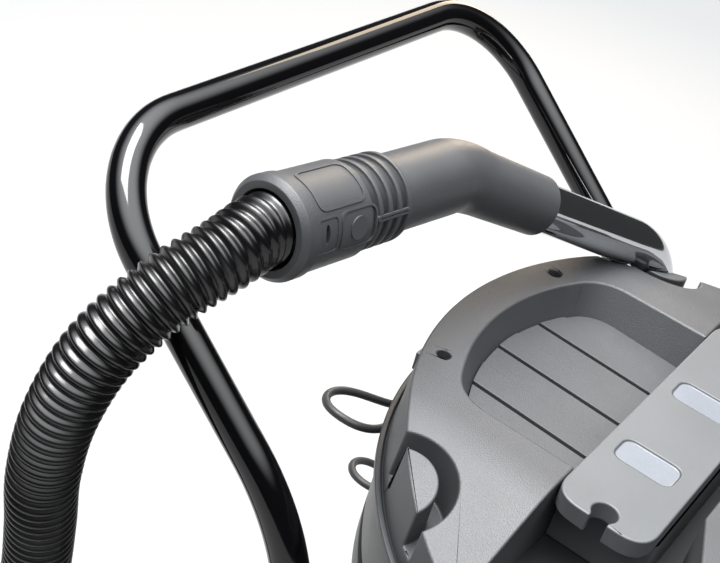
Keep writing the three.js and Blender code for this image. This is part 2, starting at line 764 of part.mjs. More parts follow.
const coverBottom = DECK_Z + GAP;
const coverOuter = upright(HEAD_R + HEAD_DRAFT, coverBottom, TOP_Z, 0, 0, 64, HEAD_R);
const rearHalf = block(-400, COVER_FRONT_Y, 0, 400, 400, 1000);
const facets = join(facetCutter(0), mirrored(facetCutter(0)));
const innerFacets = join(facetCutter(WALL), mirrored(facetCutter(WALL)));
const innerHalf = block(-400, COVER_FRONT_Y + WALL, 0, 400, 400, 1000);
const innerCone = upright(
  HEAD_R + HEAD_DRAFT - WALL,
  coverBottom - EPS,
  TOP_Z - WALL,
  0,
  0,
  48,
  HEAD_R - WALL,
);
let hollow = innerCone.intersect(innerHalf);
hollow = cut(hollow, innerFacets, trayHollow(TRAY_DEPTH + TRAY_FLOOR_T + WALL, WALL));
const grooveCuts = [];
for (const side of [-1, 1]) {
  const x = side * GROOVE_X;
  hollow = hollow.subtract(upright(GROOVE_R + WALL, coverBottom - EPS, TOP_Z, x, GROOVE_Y, 20));
  hollow = hollow.subtract(upright(10, coverBottom - EPS, TOP_Z, side * 80, 235, 12));
  const floorZ = TOP_Z - 12 - GROOVE_DEPTH;
  const ring = cut(
    upright(GROOVE_R, floorZ, TOP_Z + EPS, x, GROOVE_Y, 28),
    upright(ISLAND_R, floorZ - EPS, TOP_Z + 2 * EPS, x, GROOVE_Y, 20),
  );
  grooveCuts.push(ring, upright(5, TOP_Z - 26, TOP_Z + EPS, side * 80, 235, 12));
}
let rearCover = coverOuter.intersect(rearHalf);
rearCover = cut(
  rearCover,
  facets,
  hollow,
  trayHollow(TRAY_DEPTH + TRAY_FLOOR_T),
  ...grooveCuts,
  wandClearance,
);
addPiece('rear_cover', rearCover, headPlastic());

for (const [name, side] of sides) {
  const head = upright(4.2, TOP_Z - 26 + GAP, TOP_Z - 22, side * 80, 235, 16);
  const cross = join(
    block(side * 80 - 3, 234.4, TOP_Z - 23.4, side * 80 + 3, 235.6, TOP_Z),
    block(side * 80 - 0.6, 232, TOP_Z - 23.4, side * 80 + 0.6, 238, TOP_Z),
  );
  addPiece(`cover_screw_${name}`, head.subtract(cross), zincSteel());
}

// louvred tray floor, sloping down towards the bridge handle
const trayFloorBox = trayHollow(TRAY_DEPTH + TRAY_FLOOR_T - GAP, -GAP - 0.6);
let trayFloor = trayFloorBox.intersect(block(
  -200,
  COVER_FRONT_Y + GAP,
  TOP_Z - TRAY_DEPTH - 60,
  200,
  400,
  TOP_Z - TRAY_DEPTH,
));
for (const index of [-1, 0, 1]) {
  const x = -7 + index * SLOT_PITCH;
  const reach = 196 - Math.abs(index) * 12;
  trayFloor = trayFloor.subtract(block(
    x - SLOT_W / 2,
    COVER_FRONT_Y + 8,
    TOP_Z - TRAY_DEPTH - 13,
    x + SLOT_W / 2,
    reach,
    TOP_Z - TRAY_DEPTH + 7,
  ));
}
addPiece('tray_floor', trayFloor, headPlastic());

// ---------------------------------------------------------------- bridge handle
const bridgeFront = COVER_FRONT_Y - BRIDGE_W;
const bridgeShape = roundedRect(
  -BRIDGE_HALF_L,
  bridgeFront,
  BRIDGE_HALF_L,
  COVER_FRONT_Y - GAP,
  BRIDGE_CORNER_R,
);
let bridge = raised(bridgeShape, TOP_Z - BRIDGE_T, TOP_Z, 5);
const bridgeWeb = block(
  -112,
  bridgeFront + 0.01,
  coverBottom,
  112,
  COVER_FRONT_Y - GAP,
  TOP_Z - BRIDGE_T + EPS,
);
const bridgeHollow = block(
  -108,
  bridgeFront + WALL,
  coverBottom - EPS,
  108,
  COVER_FRONT_Y - GAP - WALL,
  TOP_Z - BRIDGE_T,
);
bridge = cut(join(bridge, bridgeWeb), bridgeHollow);
const bridgeMidY = (bridgeFront + COVER_FRONT_Y) / 2;
for (const side of [-1, 1]) {
  const x = side * (BRIDGE_HALF_L - KEYHOLE_INSET);
  const keyhole = upright(KEYHOLE_R, TOP_Z - BRIDGE_T - EPS, TOP_Z + EPS, x, bridgeMidY, 16);
  const x0 = Math.min(x, x + side * 20);
  const mouth = block(x0, bridgeMidY - 6, TOP_Z - BRIDGE_T - EPS, x0 + 20, bridgeMidY + 6, TOP_Z + EPS);
  bridge = cut(bridge, keyhole, mouth);
}
for (const x of [-63, 29.2]) {
  const y0 = bridgeMidY - POCKET_L / 2 + 1.5;
  const outline = roundedRect(x - POCKET_W / 2, y0, x + POCKET_W / 2, y0 + POCKET_L, POCKET_R);
  bridge = bridge.subtract(raised(outline, TOP_Z - POCKET_DEPTH, TOP_Z + EPS, 4));
}
addPiece('bridge_handle', bridge, headPlastic());

// ---------------------------------------------------------------- front cover and switches
/** The front cover's plan outline, moved inwards by an inset. */
function frontShape(inset) {
  const radius = FRONT_R - inset;
  const rear = FRONT_REAR_Y - inset;
  const half = FRONT_HALF_W - inset * 0.3;
  const sideY = -20 - inset;
  const sideX = Math.sqrt(radius ** 2 - sideY ** 2);
  const start = Math.atan2(sideY, sideX);
  const shape = new THREE.Shape();
  shape.moveTo(half, rear);
  shape.lineTo(-half, rear);
  shape.lineTo(-sideX, sideY);
  shape.absarc(0, 0, radius, Math.PI - start, 2 * Math.PI + start, false);
  return shape;
}
const slopeCutter = (drop) =>
  tilted(
    block(-400, SLOPE_START_Y - 400, TOP_Z - drop, 400, SLOPE_START_Y, TOP_Z + 300),
    deg(SLOPE_DEG),
    SLOPE_START_Y,
    TOP_Z,
  );
const frontOuter = cut(raised(frontShape(0), coverBottom, TOP_Z, 24), slopeCutter(0), facets);
const frontInner = cut(
  raised(frontShape(WALL), coverBottom - EPS, TOP_Z - WALL, 14),
  slopeCutter(WALL),
  innerFacets,
);
const slopePoint = (down) => {
  const y = SLOPE_START_Y - down * Math.cos(deg(SLOPE_DEG));
  const z = TOP_Z - down * Math.sin(deg(SLOPE_DEG));
  return new THREE.Vector3(0, y, z);
};
const panelMid = slopePoint(74);
const panelHalfL = (SWITCH_PITCH * SWITCH_COUNT) / 2 + 8;
/** A piece of the switch panel, made flat about the panel's middle and then tilted with it. */
function onPanel(body) {
  const geometry = geometryOf(body);
  geometry.rotateX(deg(SLOPE_DEG));
  geometry.translate(panelMid.x, panelMid.y, panelMid.z);
  return solid(geometry);
}
const panelWindow = onPanel(block(-panelHalfL + 4, -22, -20, panelHalfL - 4, 22, 20));
const lidOutline = roundedRect(-107, SLOPE_START_Y + 12, 107, FRONT_REAR_Y - 6, 12);
const lidInline = roundedRect(-106, SLOPE_START_Y + 13, 106, FRONT_REAR_Y - 7, 11);
const lidSeam = raised(
  lidOutline,
  TOP_Z - 1.2,
  TOP_Z + EPS,
  6,
).subtract(raised(lidInline, TOP_Z - 2, TOP_Z + 2, 6));
addPiece('front_cover', cut(frontOuter, frontInner, panelWindow, lidSeam), headPlastic());

let panel = onPanel(raised(roundedRect(-panelHalfL, -26, panelHalfL, 26, 6), GAP, 3, 6));
const switchXs = [];
for (let i = 0; i < SWITCH_COUNT; i += 1) {
  switchXs.push((i - (SWITCH_COUNT - 1) / 2) * SWITCH_PITCH);
}
for (const x of switchXs) {
  panel = panel.subtract(onPanel(block(
    x - SWITCH_W / 2 - 1,
    -SWITCH_L / 2 - 1.6,
    -2,
    x + SWITCH_W / 2 + 1,
    SWITCH_L / 2 + 1.6,
    6,
  )));
}
addPiece('switch_panel', panel, darkPlastic());
switchXs.forEach((x, index) => {
  const rocker = new THREE.Shape();
  rocker.moveTo(-SWITCH_L / 2, -8);
  rocker.lineTo(SWITCH_L / 2, -8);
  rocker.lineTo(SWITCH_L / 2, 3.2);
  rocker.lineTo(0, 3.6);
  rocker.lineTo(-SWITCH_L / 2, 7.4);
  const geometry = new THREE.ExtrudeGeometry(rocker, { depth: SWITCH_W, bevelEnabled: false });
  geometry.translate(0, 0, -SWITCH_W / 2);
  geometry.rotateX(Math.PI / 2);
  geometry.rotateZ(Math.PI / 2);
  geometry.translate(x, 0, 0);
  addPiece(`rocker_switch_${index + 1}`, onPanel(solid(geometry)), blackRubber());
});

// ---------------------------------------------------------------- wand, grip and cuffs
addPiece('wand_upper', swept(wandRoute, WAND_R, 18, 6, WAND_R - WAND_T), chromeSteel());

const lowerOutline = [
  [WAND_R - WAND_T, WAND_BOTTOM_Z + GAP],
  [WAND_R, WAND_BOTTOM_Z + GAP],
  [WAND_R, WAND_JOINT_Z - 62],
  [WAND_R + 2.3, WAND_JOINT_Z - 56],
  [WAND_R + 2.3, WAND_JOINT_Z],
  [WAND_R + 0.5, WAND_JOINT_Z],
  [WAND_R + 0.5, WAND_JOINT_Z - 52],
  [WAND_R - WAND_T, WAND_JOINT_Z - 58],
];
const lowerWand = geometryOf(turned(lowerOutline, 24));
lowerWand.translate(WAND_X, WAND_Y, 0);
addPiece('wand_lower', lowerWand, chromeSteel());

const legClearance = upright(TUBE_R + GAP, LEG_BOTTOM_Z - 40, LEG_KNEE_Z - 20, LEG_X, LEG_Y, 24);
const wandReach = Math.hypot(WAND_X, WAND_Y);
const cupOuter = upright(WAND_R + 4, WAND_BOTTOM_Z - 5, WAND_BOTTOM_Z + 45, WAND_X, WAND_Y, 28);
const cupInner = upright(WAND_R + 0.6, WAND_BOTTOM_Z, WAND_BOTTOM_Z + 60, WAND_X, WAND_Y, 24);
const cupArm = spun(
  block(FRAME_R - 6, -12, WAND_BOTTOM_Z + 5, wandReach - WAND_R + 3.3, 12, WAND_BOTTOM_Z + 20),
  Math.atan2(WAND_Y, WAND_X),
);
const cupBody = cut(
  join(cupOuter, cupArm),
  cupInner,
  upright(FRAME_R + GAP, FRAME_Z - 30, FRAME_Z + 120, 0, 0, 72),
  legClearance,
);
addPiece('wand_cup', cupBody, darkPlastic());

const clipZ = ringBottom - 30;
const clipOuter = upright(WAND_R + 4, clipZ, clipZ + 22, WAND_X, WAND_Y, 28);
const clipInner = upright(WAND_R + 0.5, clipZ - EPS, clipZ + 30, WAND_X, WAND_Y, 24);
const clipArm = spun(
  block(TANK_R, -14, clipZ, wandReach - WAND_R + 3.3, 14, clipZ + 22),
  Math.atan2(WAND_Y, WAND_X),
);
const clipMouth = spun(
  block(wandReach + 8.3, -15, clipZ - EPS, wandReach + 47, 15, clipZ + 30),
  Math.atan2(WAND_Y, WAND_X),
);
const clip = cut(
  join(clipOuter, clipArm),
  clipInner,
  clipMouth,
  upright(TANK_R + GAP, clipZ - 60, clipZ + 60, 0, 0, 72),
  legClearance,
);
addPiece('wand_clip', clip, darkPlastic());

const bendPoint = wandPoint(GRIP_BEND);
const socketPoint = wandPoint(SOCKET_START);
const socketLength = bendPoint.distanceTo(socketPoint);
const socketTube = along(
  upright(SOCKET_R, 0, socketLength + 4, 0, 0, 24, SOCKET_R + 1.2),
  socketPoint,
  wandAxis,
);
const gripTube = along(upright(GRIP_R, -4, GRIP_L, 0, 0, 24, GRIP_R - 1), bendPoint, GRIP_AXIS);
const knuckle = new THREE.SphereGeometry(GRIP_R - 1.2, 16, 10);
knuckle.translate(bendPoint.x, bendPoint.y, bendPoint.z);
const wandBore = along(
  upright(WAND_R + GAP + 0.5, -EPS, SOCKET_GRIP_L + 6, 0, 0, 20),
  socketPoint,
  wandAxis,
);
const airBoreA = along(upright(WAND_R - 2, -EPS, socketLength + 4, 0, 0, 16), socketPoint, wandAxis);
const airBoreB = along(upright(WAND_R - 2, -6, GRIP_L + EPS, 0, 0, 16), bendPoint, GRIP_AXIS);
const grip = cut(join(socketTube, gripTube, solid(knuckle)), wandBore, airBoreA, airBoreB);
addPiece('elbow_grip', grip, darkPlastic());

const ribR = GRIP_R + 2.7;
const grooveR = GRIP_R + 1.4;
const cuffOutline = [[GRIP_R + GAP, CUFF_START]];
for (let i = 0; i < 4; i += 1) {
  const at = CUFF_START + i * 9.5;
  cuffOutline.push([ribR, at], [ribR, at + 3.2], [grooveR, at + 3.6], [grooveR, at + 9.1]);
}
cuffOutline.push(
  [CUFF_R - 1.2, CUFF_BODY_START + 3],
  [CUFF_R, CUFF_BODY_START + 5],
  [CUFF_R, CUFF_END - 14],
  [COLLAR_R, CUFF_END - 13],
  [COLLAR_R, CUFF_END - 4],
  [COLLAR_R - 3.5, CUFF_END],
  [HOSE_R + 2, CUFF_END],
  [HOSE_R + 2, CUFF_END - HOSE_SOCKET_DEPTH - 2],
  [HOSE_R - 4, CUFF_END - HOSE_SOCKET_DEPTH - 2],
  [HOSE_R - 4, GRIP_L + 4],
  [GRIP_R + GAP, GRIP_L + 4],
);
const cuff = along(turned(cuffOutline, 20), bendPoint, GRIP_AXIS);
addPiece('hose_cuff', cuff, darkPlastic());

const tankCuffTop = INLET_Z - 45;
const tankCuffEnd = tankCuffTop - 96;
const tankCuffOutline = [
  [DUCT_R + GAP + 0.5, tankCuffTop],
  [DUCT_R + 5, tankCuffTop],
  [DUCT_R + 7, tankCuffTop - 4],
  [DUCT_R + 7, tankCuffTop - 44],
  [DUCT_R + 8.5, tankCuffTop - 46],
  [COLLAR_R - 3, tankCuffEnd + 6],
  [COLLAR_R - 6, tankCuffEnd],
  [HOSE_R + 2, tankCuffEnd],
  [HOSE_R + 2, tankCuffEnd + HOSE_SOCKET_DEPTH + 2],
  [HOSE_R - 4, tankCuffEnd + HOSE_SOCKET_DEPTH + 2],
  [HOSE_R - 4, tankCuffTop - 42],
  [DUCT_R + GAP + 0.5, tankCuffTop - 42],
];
const tankCuff = geometryOf(turned(tankCuffOutline, 20));
tankCuff.translate(inletCorner.x, inletCorner.y, 0);
addPiece('tank_cuff', tankCuff, darkPlastic());

// ---------------------------------------------------------------- hose
const hoseStart = bendPoint.clone().addScaledVector(GRIP_AXIS, CUFF_END - HOSE_SOCKET_DEPTH);
const hoseLead = bendPoint.clone().addScaledVector(GRIP_AXIS, CUFF_END + 6);
const hoseEnd = new THREE.Vector3(inletCorner.x, inletCorner.y, tankCuffEnd + HOSE_SOCKET_DEPTH);
const hoseRoute = new THREE.CatmullRomCurve3([
  hoseStart,
  hoseLead,
  new THREE.Vector3(-236, 316, 920),
  new THREE.Vector3(-272, 327, 901),
  new THREE.Vector3(-302, 341, 866),
  new THREE.Vector3(-317, 351, 820),
  new THREE.Vector3(-318, 358, 768),
  new THREE.Vector3(-309, 364, 714),
  new THREE.Vector3(-301, 371, 655),
  new THREE.Vector3(-301, 378, 590),
  new THREE.Vector3(-308, 385, 520),
  new THREE.Vector3(-319, 391, 440),
  new THREE.Vector3(-329, 394, 355),
  new THREE.Vector3(-335, 390, 270),
  new THREE.Vector3(-338, 376, 190),
  new THREE.Vector3(-340, 345, 115),
  new THREE.Vector3(-341, 295, 63),
  new THREE.Vector3(-341, 235, 44),
  new THREE.Vector3(-341, 175, 58),
  new THREE.Vector3(-340, 128, 105),
  new THREE.Vector3(-337, 101, 175),
  new THREE.Vector3(-334, 91, 255),
  new THREE.Vector3(inletCorner.x, inletCorner.y, 345),
  new THREE.Vector3(inletCorner.x, inletCorner.y, tankCuffEnd - 20),
  hoseEnd,
]);
addPiece('hose', swept(hoseRoute, HOSE_R, 48, 5), hosePlastic());

// ---------------------------------------------------------------- power cord
const gland = join(
  upright(7, CORD_WALL_Y - 10, CORD_WALL_Y + 5, 0, 0, 20),
  upright(10, CORD_WALL_Y + 3.5, CORD_WALL_Y + 7, 0, 0, 20),
  upright(7, CORD_WALL_Y + 6, CORD_EXIT.y, 0, 0, 20, CORD_R + 1.4),
);
const glandBore = upright(CORD_R + GAP, CORD_EXIT.y - 8, CORD_EXIT.y + EPS, 0, 0, 12);
addPiece(
  'cord_gland',
  along(
    cut(gland, glandBore),
    new THREE.Vector3(CORD_EXIT.x, 0, CORD_EXIT.z),
    new THREE.Vector3(0, 1, 0),
  ),
  blackRubber(),
);

const hookZ = TOP_Z - 108;
const hookX = 29;
const hookBack = block(hookX - 4, BASE_R - 24, hookZ - 22, hookX + 16, BASE_R + 5, hookZ);
const hookArm = block(hookX, BASE_R - 14, hookZ - 6, hookX + 12, BASE_R + 35, hookZ);
const hookTip = block(hookX, BASE_R + 29.5, hookZ - 6, hookX + 12, BASE_R + 35, hookZ + 11);
const hook = cut(
  join(hookBack, hookArm, hookTip),
  upright(BASE_R + GAP, TOP_Z - 170, TOP_Z - 30, 0, 0, 72),
);
addPiece('cord_hook', hook, darkPlastic());

const coilX = 60;
const coilY = 435;
const coilSide = coilY - COIL_R - COIL_RING_R - GAP;
const cordRoute = new THREE.CatmullRomCurve3([
  new THREE.Vector3(CORD_EXIT.x, CORD_EXIT.y - 6, CORD_EXIT.z),
  new THREE.Vector3(95, 278, 720),
  new THREE.Vector3(93, 288.5, 720.3),
  new THREE.Vector3(87, 297.4, 720.8),
  new THREE.Vector3(78.3, 303, 721),
  new THREE.Vector3(68, 305, 720.5),
  new THREE.Vector3(57.7, 302.8, 719),
  new THREE.Vector3(48.5, 297.2, 717.6),
  new THREE.Vector3(39.5, 291, 716.6),
  new THREE.Vector3(29, 286.5, 716.2),
  new THREE.Vector3(15, 282.5, 716),
  new THREE.Vector3(0, 279, 716.2),
  new THREE.Vector3(-16, 275.2, 716.8),
  new THREE.Vector3(-32, 271.8, 718),
  new THREE.Vector3(-46, 269, 720),
  new THREE.Vector3(-59, 266.6, 722.3),
  new THREE.Vector3(-71, 266.4, 725),
  new THREE.Vector3(-82, 270, 728),
  new THREE.Vector3(-89.8, 277.6, 730.4),
  new THREE.Vector3(-92.9, 290, 731.6),
  new THREE.Vector3(-90.5, 302.8, 730.8),
  new THREE.Vector3(-83, 311.3, 728.4),
  new THREE.Vector3(-70, 316.3, 724.6),
  new THREE.Vector3(-56, 315.2, 720.2),
  new THREE.Vector3(-43, 309, 715),
  new THREE.Vector3(-31, 300.5, 709),
  new THREE.Vector3(-18, 292.5, 702),
  new THREE.Vector3(-3, 287.5, 694.5),
  new THREE.Vector3(12, 285.5, 686),
  new THREE.Vector3(25, 285.5, 675),
  new THREE.Vector3(33.5, 285.8, 660),
  new THREE.Vector3(36, 285, 643),
  new THREE.Vector3(30.5, 281.5, 627.5),
  new THREE.Vector3(20, 275.6, 617.5),
  new THREE.Vector3(7.5, 271.2, 613),
  new THREE.Vector3(-4.5, 272, 612.5),
  new THREE.Vector3(-13, 279.2, 613.8),
  new THREE.Vector3(-16.4, 292, 614.5),
  new THREE.Vector3(-13.2, 304.6, 613.5),
  new THREE.Vector3(-4.2, 312.8, 610.8),
  new THREE.Vector3(9, 316.2, 606),
  new THREE.Vector3(23, 314.5, 598.5),
  new THREE.Vector3(37, 309.5, 588),
  new THREE.Vector3(51, 304.5, 574),
  new THREE.Vector3(64, 301.2, 555),
  new THREE.Vector3(75, 300, 530),
  new THREE.Vector3(81.5, 300, 500),
  new THREE.Vector3(84, 300, 460),
  new THREE.Vector3(84, 300.3, 400),
  new THREE.Vector3(84, 301, 290),
  new THREE.Vector3(84, 303, 180),
  new THREE.Vector3(84, 304.3, 100),
  new THREE.Vector3(82, 312, 48),
  new THREE.Vector3(76, 328, 18),
  new THREE.Vector3(66, 352, 13),
  new THREE.Vector3(coilX, coilSide - 8, 14),
  new THREE.Vector3(coilX, coilSide, 14),
]);
addPiece('power_cord', swept(cordRoute, CORD_R, 90, 3), blackRubber());

const coilOutline = [
  [COIL_R - COIL_RING_R, GAP + 5],
  [COIL_R - COIL_RING_R + 8, GAP],
  [COIL_R + COIL_RING_R - 8, GAP],
  [COIL_R + COIL_RING_R, GAP + 8],
  [COIL_R + COIL_RING_R, COIL_H - 8],
  [COIL_R + COIL_RING_R - 8, COIL_H],
  [COIL_R - COIL_RING_R + 8, COIL_H],
  [COIL_R - COIL_RING_R, COIL_H - 5],
];
const coil = geometryOf(turned(coilOutline, 24));
coil.translate(coilX, coilY, 0);
addPiece('cord_coil', coil, blackRubber());

const plugX = coilX + COIL_R + COIL_RING_R + GAP;
const plugY = coilY - COIL_R - 2 * CORD_R * 2;
const plugNeck = crosswise(6, coilX + 10, plugX + 6, plugY, 14, 12);
const plugBody = block(plugX + 5, plugY - 20, GAP, plugX + 34, plugY + 20, 28);
const pinA = crosswise(2.4, plugX + 33, plugX + 52, plugY - 9.5, 14, 12);
const pinB = crosswise(2.4, plugX + 33, plugX + 52, plugY + 9.5, 14, 12);
const coilRoom = upright(COIL_R + COIL_RING_R + GAP, 0, COIL_H + 10, coilX, coilY, 24);
addPiece('plug', cut(join(plugNeck, plugBody, pinA, pinB), coilRoom), blackRubber());

// ---------------------------------------------------------------- origin on the floor, under the middle
const cordNames = ['hose', 'power_cord', 'cord_coil', 'plug'];
const bounds = new THREE.Box3();
for (const mesh of machine.children) {
  if (!cordNames.includes(mesh.name)) {
    bounds.expandByObject(mesh);
  }
}
const middle = bounds.getCenter(new THREE.Vector3());
machine.position.set(-middle.x, -middle.y, -bounds.min.z);

const group = new THREE.Group();
group.add(machine);
export default group;
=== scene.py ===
"""Looks of a wet and dry canister vacuum cleaner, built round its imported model.

Every length in the classes below is in millimetres, in the machine's own frame: the
tank's axis stands at X 0, Y 0 and the floor is Z 0. ``to_frame`` carries such points
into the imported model's frame, in metres.
"""

import logging
import math
from dataclasses import dataclass, field
from enum import Enum

import bmesh
import bpy
import numpy as np
from mathutils import Matrix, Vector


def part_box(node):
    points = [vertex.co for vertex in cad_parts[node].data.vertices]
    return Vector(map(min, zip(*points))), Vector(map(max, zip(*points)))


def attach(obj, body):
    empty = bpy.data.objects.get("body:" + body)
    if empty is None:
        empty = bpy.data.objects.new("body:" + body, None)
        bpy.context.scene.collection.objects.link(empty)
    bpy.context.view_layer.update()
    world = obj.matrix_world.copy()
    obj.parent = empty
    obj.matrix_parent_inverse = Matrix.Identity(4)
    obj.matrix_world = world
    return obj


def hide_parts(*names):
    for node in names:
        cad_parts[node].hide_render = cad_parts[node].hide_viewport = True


LOG = logging.getLogger("vacuum_cleaner")

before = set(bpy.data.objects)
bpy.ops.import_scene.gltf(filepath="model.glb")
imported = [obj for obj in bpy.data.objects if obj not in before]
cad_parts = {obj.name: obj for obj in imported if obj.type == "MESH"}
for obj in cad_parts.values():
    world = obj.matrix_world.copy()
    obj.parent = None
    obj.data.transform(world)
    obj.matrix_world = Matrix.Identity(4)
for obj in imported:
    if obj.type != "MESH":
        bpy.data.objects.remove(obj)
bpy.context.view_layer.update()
Array = np.ndarray

MM = 0.001
TOP_Z = 820.0
GAP = 0.3


def machine_origin() -> Array:
    """The machine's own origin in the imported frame, from the box of the bridge handle.

    Returns:
        The point, in metres: the handle is centred on X 0 and ends 116.2 mm behind Y 0.
    """
    low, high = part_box("bridge_handle")
    return np.array([(low.x + high.x) / 2, high.y - 0.1162, 0.0])


ORIGIN = machine_origin()


def to_frame(points: Array) -> Array:
    """Carries points from the machine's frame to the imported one: metres, then the origin."""
    return np.asarray(points, float) * MM + ORIGIN


# ------------------------------------------------------------------ shapes as arrays
def unit(vectors: Array) -> Array:
    """Each vector divided by its own length."""
    vectors = np.asarray(vectors, float)
    return vectors / np.linalg.norm(vectors, axis=-1, keepdims=True)


def basis(axis: Array) -> tuple[Array, Array, Array]:
    """Two directions square to an axis, and the axis.

    Args:
        axis: The direction, of any length.

    Returns:
        U, V and W, where W is the axis, U is level and V is W crossed with U.
    """
    w = unit(axis)
    side = np.cross(w, [0.0, 0.0, 1.0])
    u = unit(side) if np.linalg.norm(side) > 1e-6 else np.array([1.0, 0.0, 0.0])
    return u, np.cross(w, u), w


def fillet(outline: Array, radius: float | Array, steps: int = 4) -> Array:
    """Rounds every corner of a closed outline.

    Each corner C is swapped for the curve (1-t)^2 A + 2 t (1-t) C + t^2 B, where A and B
    lie on the two sides at the radius from C, or at 0.45 of the shorter side.

    Args:
        outline: The corners in order, one row each, in two or three dimensions.
        radius: The distance from the corner at which the curve starts, or one for each.
        steps: How many lengths the curve is cut into.

    Returns:
        The new outline.
    """
    before = np.roll(outline, 1, axis=0) - outline
    after = np.roll(outline, -1, axis=0) - outline
    long_before = np.linalg.norm(before, axis=1)
    long_after = np.linalg.norm(after, axis=1)
    reach = np.minimum(radius, 0.45 * np.minimum(long_before, long_after))[:, None]
    start = (outline + before / long_before[:, None] * reach)[:, None]
    end = (outline + after / long_after[:, None] * reach)[:, None]
    t = np.linspace(0.0, 1.0, steps + 1)[None, :, None]
    middle = outline[:, None]
    curve = (1 - t) ** 2 * start + 2 * t * (1 - t) * middle + t**2 * end
    return curve.reshape(-1, outline.shape[1])


def grid_quads(rows: int, columns: int, ring: bool = True, loop: bool = True) -> Array:
    """The four-sided faces of a grid of points.

    Args:
        rows: How many rows of points.
        columns: How many points in a row.
        ring: Whether the last row joins the first.
        loop: Whether each row's last point joins its first.

    Returns:
        One row of four point numbers for each face.
    """
    i = np.arange(rows if ring else rows - 1)
    j = np.arange(columns if loop else columns - 1)
    here, beside = np.meshgrid(i, j, indexing="ij")
    ahead, across = (here + 1) % rows, (beside + 1) % columns
    corners = [(here, beside), (ahead, beside), (ahead, across), (here, across)]
    return np.stack([a * columns + b for a, b in corners], axis=-1).reshape(-1, 4)


@dataclass
class Shell:
    """Points in millimetres and the faces between them."""

    points: Array
    faces: list[Array]


def revolve(
    outline: list[tuple[float, float]] | Array,
    segments: int = 192,
    centre: tuple[float, float, float] | Array = (0.0, 0.0, 0.0),
    axis: tuple[float, float, float] | Array = (0.0, 0.0, 1.0),
    edge: float = 0.0,
) -> Shell:
    """A closed outline of (radius, height) carried round an axis.

    The point at angle a is centre + radius (cos a U + sin a V) + height W.

    Args:
        outline: The closed outline.
        segments: How many steps round the axis.
        centre: Where height 0 is.
        axis: The direction of height.
        edge: The rounding of the outline's corners.

    Returns:
        The shell.
    """
    outline = np.asarray(outline, float)
    if edge > 0:
        outline = fillet(outline, np.where(outline[:, 0] > 1e-6, edge, 0.01))
    u, v, w = basis(np.asarray(axis, float))
    angle = np.linspace(0.0, 2 * np.pi, segments, endpoint=False)
    around = np.cos(angle)[:, None] * u + np.sin(angle)[:, None] * v
    radius, height = outline[:, 0], outline[:, 1]
    points = np.asarray(centre) + radius[:, None, None] * around + height[:, None, None] * w
    return Shell(points.reshape(-1, 3), [grid_quads(len(outline), segments)])


def prism(outline: Array, low: float, high: float, top: Array | None = None) -> Shell:
    """A flat outline raised between two heights, drafted if its top outline differs.

    Args:
        outline: The closed outline in X and Y.
        low: The height of the outline.
        high: The height of the top.
        top: The top's outline, with as many points; the same outline if it is left out.

    Returns:
        The shell.
    """
    top = outline if top is None else top
    count = len(outline)
    floor = np.column_stack([outline, np.full(count, low)])
    lid = np.column_stack([top, np.full(count, high)])
    ends = np.stack([np.arange(count)[::-1], np.arange(count) + count])
    return Shell(np.vstack([floor, lid]), [grid_quads(2, count, ring=False), ends])


def box(low: tuple[float, float, float], high: tuple[float, float, float]) -> Shell:
    """A block between two corners."""
    (x0, y0, z0), (x1, y1, z1) = low, high
    return prism(np.array([[x0, y0], [x1, y0], [x1, y1], [x0, y1]]), z0, z1)


def disc(radius: float, x: float = 0.0, y: float = 0.0, segments: int = 64) -> Array:
    """A circle's points in X and Y."""
    a = np.linspace(0.0, 2 * np.pi, segments, endpoint=False)
    return np.column_stack([x + radius * np.cos(a), y + radius * np.sin(a)])


def rounded_rectangle(x0: float, y0: float, x1: float, y1: float, radius: float) -> Array:
    """A rectangle in X and Y with round corners."""
    corners = np.array([[x0, y0], [x1, y0], [x1, y1], [x0, y1]], float)
    return fillet(corners, radius * 1.35, 10)


class Path:
    """A line in space with two directions square to it that don't twist about it."""

    def __init__(self, points: Array) -> None:
        """Works out the line's lengths and frames.

        The first square direction is carried from point to point by taking away its
        share along the new tangent, which keeps it from turning about the line.

        Args:
            points: The line's points in order, close together.
        """
        self.points = np.asarray(points, float)
        steps = np.linalg.norm(np.diff(self.points, axis=0), axis=1)
        self.reach = np.concatenate([[0.0], np.cumsum(steps)])
        self.length = float(self.reach[-1])
        self.tangents = unit(np.gradient(self.points, self.reach, axis=0))
        normals = np.empty_like(self.points)
        normals[0] = basis(self.tangents[0])[0]
        for i in range(1, len(normals)):
            carried = normals[i - 1] - (normals[i - 1] @ self.tangents[i]) * self.tangents[i]
            normals[i] = unit(carried)
        self.normals = normals

    def spread(self, values: Array, distance: Array) -> Array:
        """Values given at the line's points, read off at distances along it."""
        return np.column_stack([np.interp(distance, self.reach, values[:, k]) for k in range(3)])

    def carry(self, outline: Array, sides: int = 48) -> Shell:
        """A closed outline of (distance, radius) carried along and round the line.

        The point is centre(distance) + radius (cos a N + sin a B), with N and B square
        to the line there.

        Args:
            outline: The closed outline.
            sides: How many steps round the line.

        Returns:
            The shell.
        """
        distance, radius = np.clip(outline[:, 0], 0.0, self.length), outline[:, 1]
        centre = self.spread(self.points, distance)
        tangent = unit(self.spread(self.tangents, distance))
        normal = self.spread(self.normals, distance)
        normal = unit(normal - np.sum(normal * tangent, axis=1, keepdims=True) * tangent)
        binormal = np.cross(tangent, normal)
        angle = np.linspace(0.0, 2 * np.pi, sides, endpoint=False)[None, :, None]
        around = np.cos(angle) * normal[:, None] + np.sin(angle) * binormal[:, None]
        points = centre[:, None] + radius[:, None, None] * around
        return Shell(points.reshape(-1, 3), [grid_quads(len(outline), sides)])


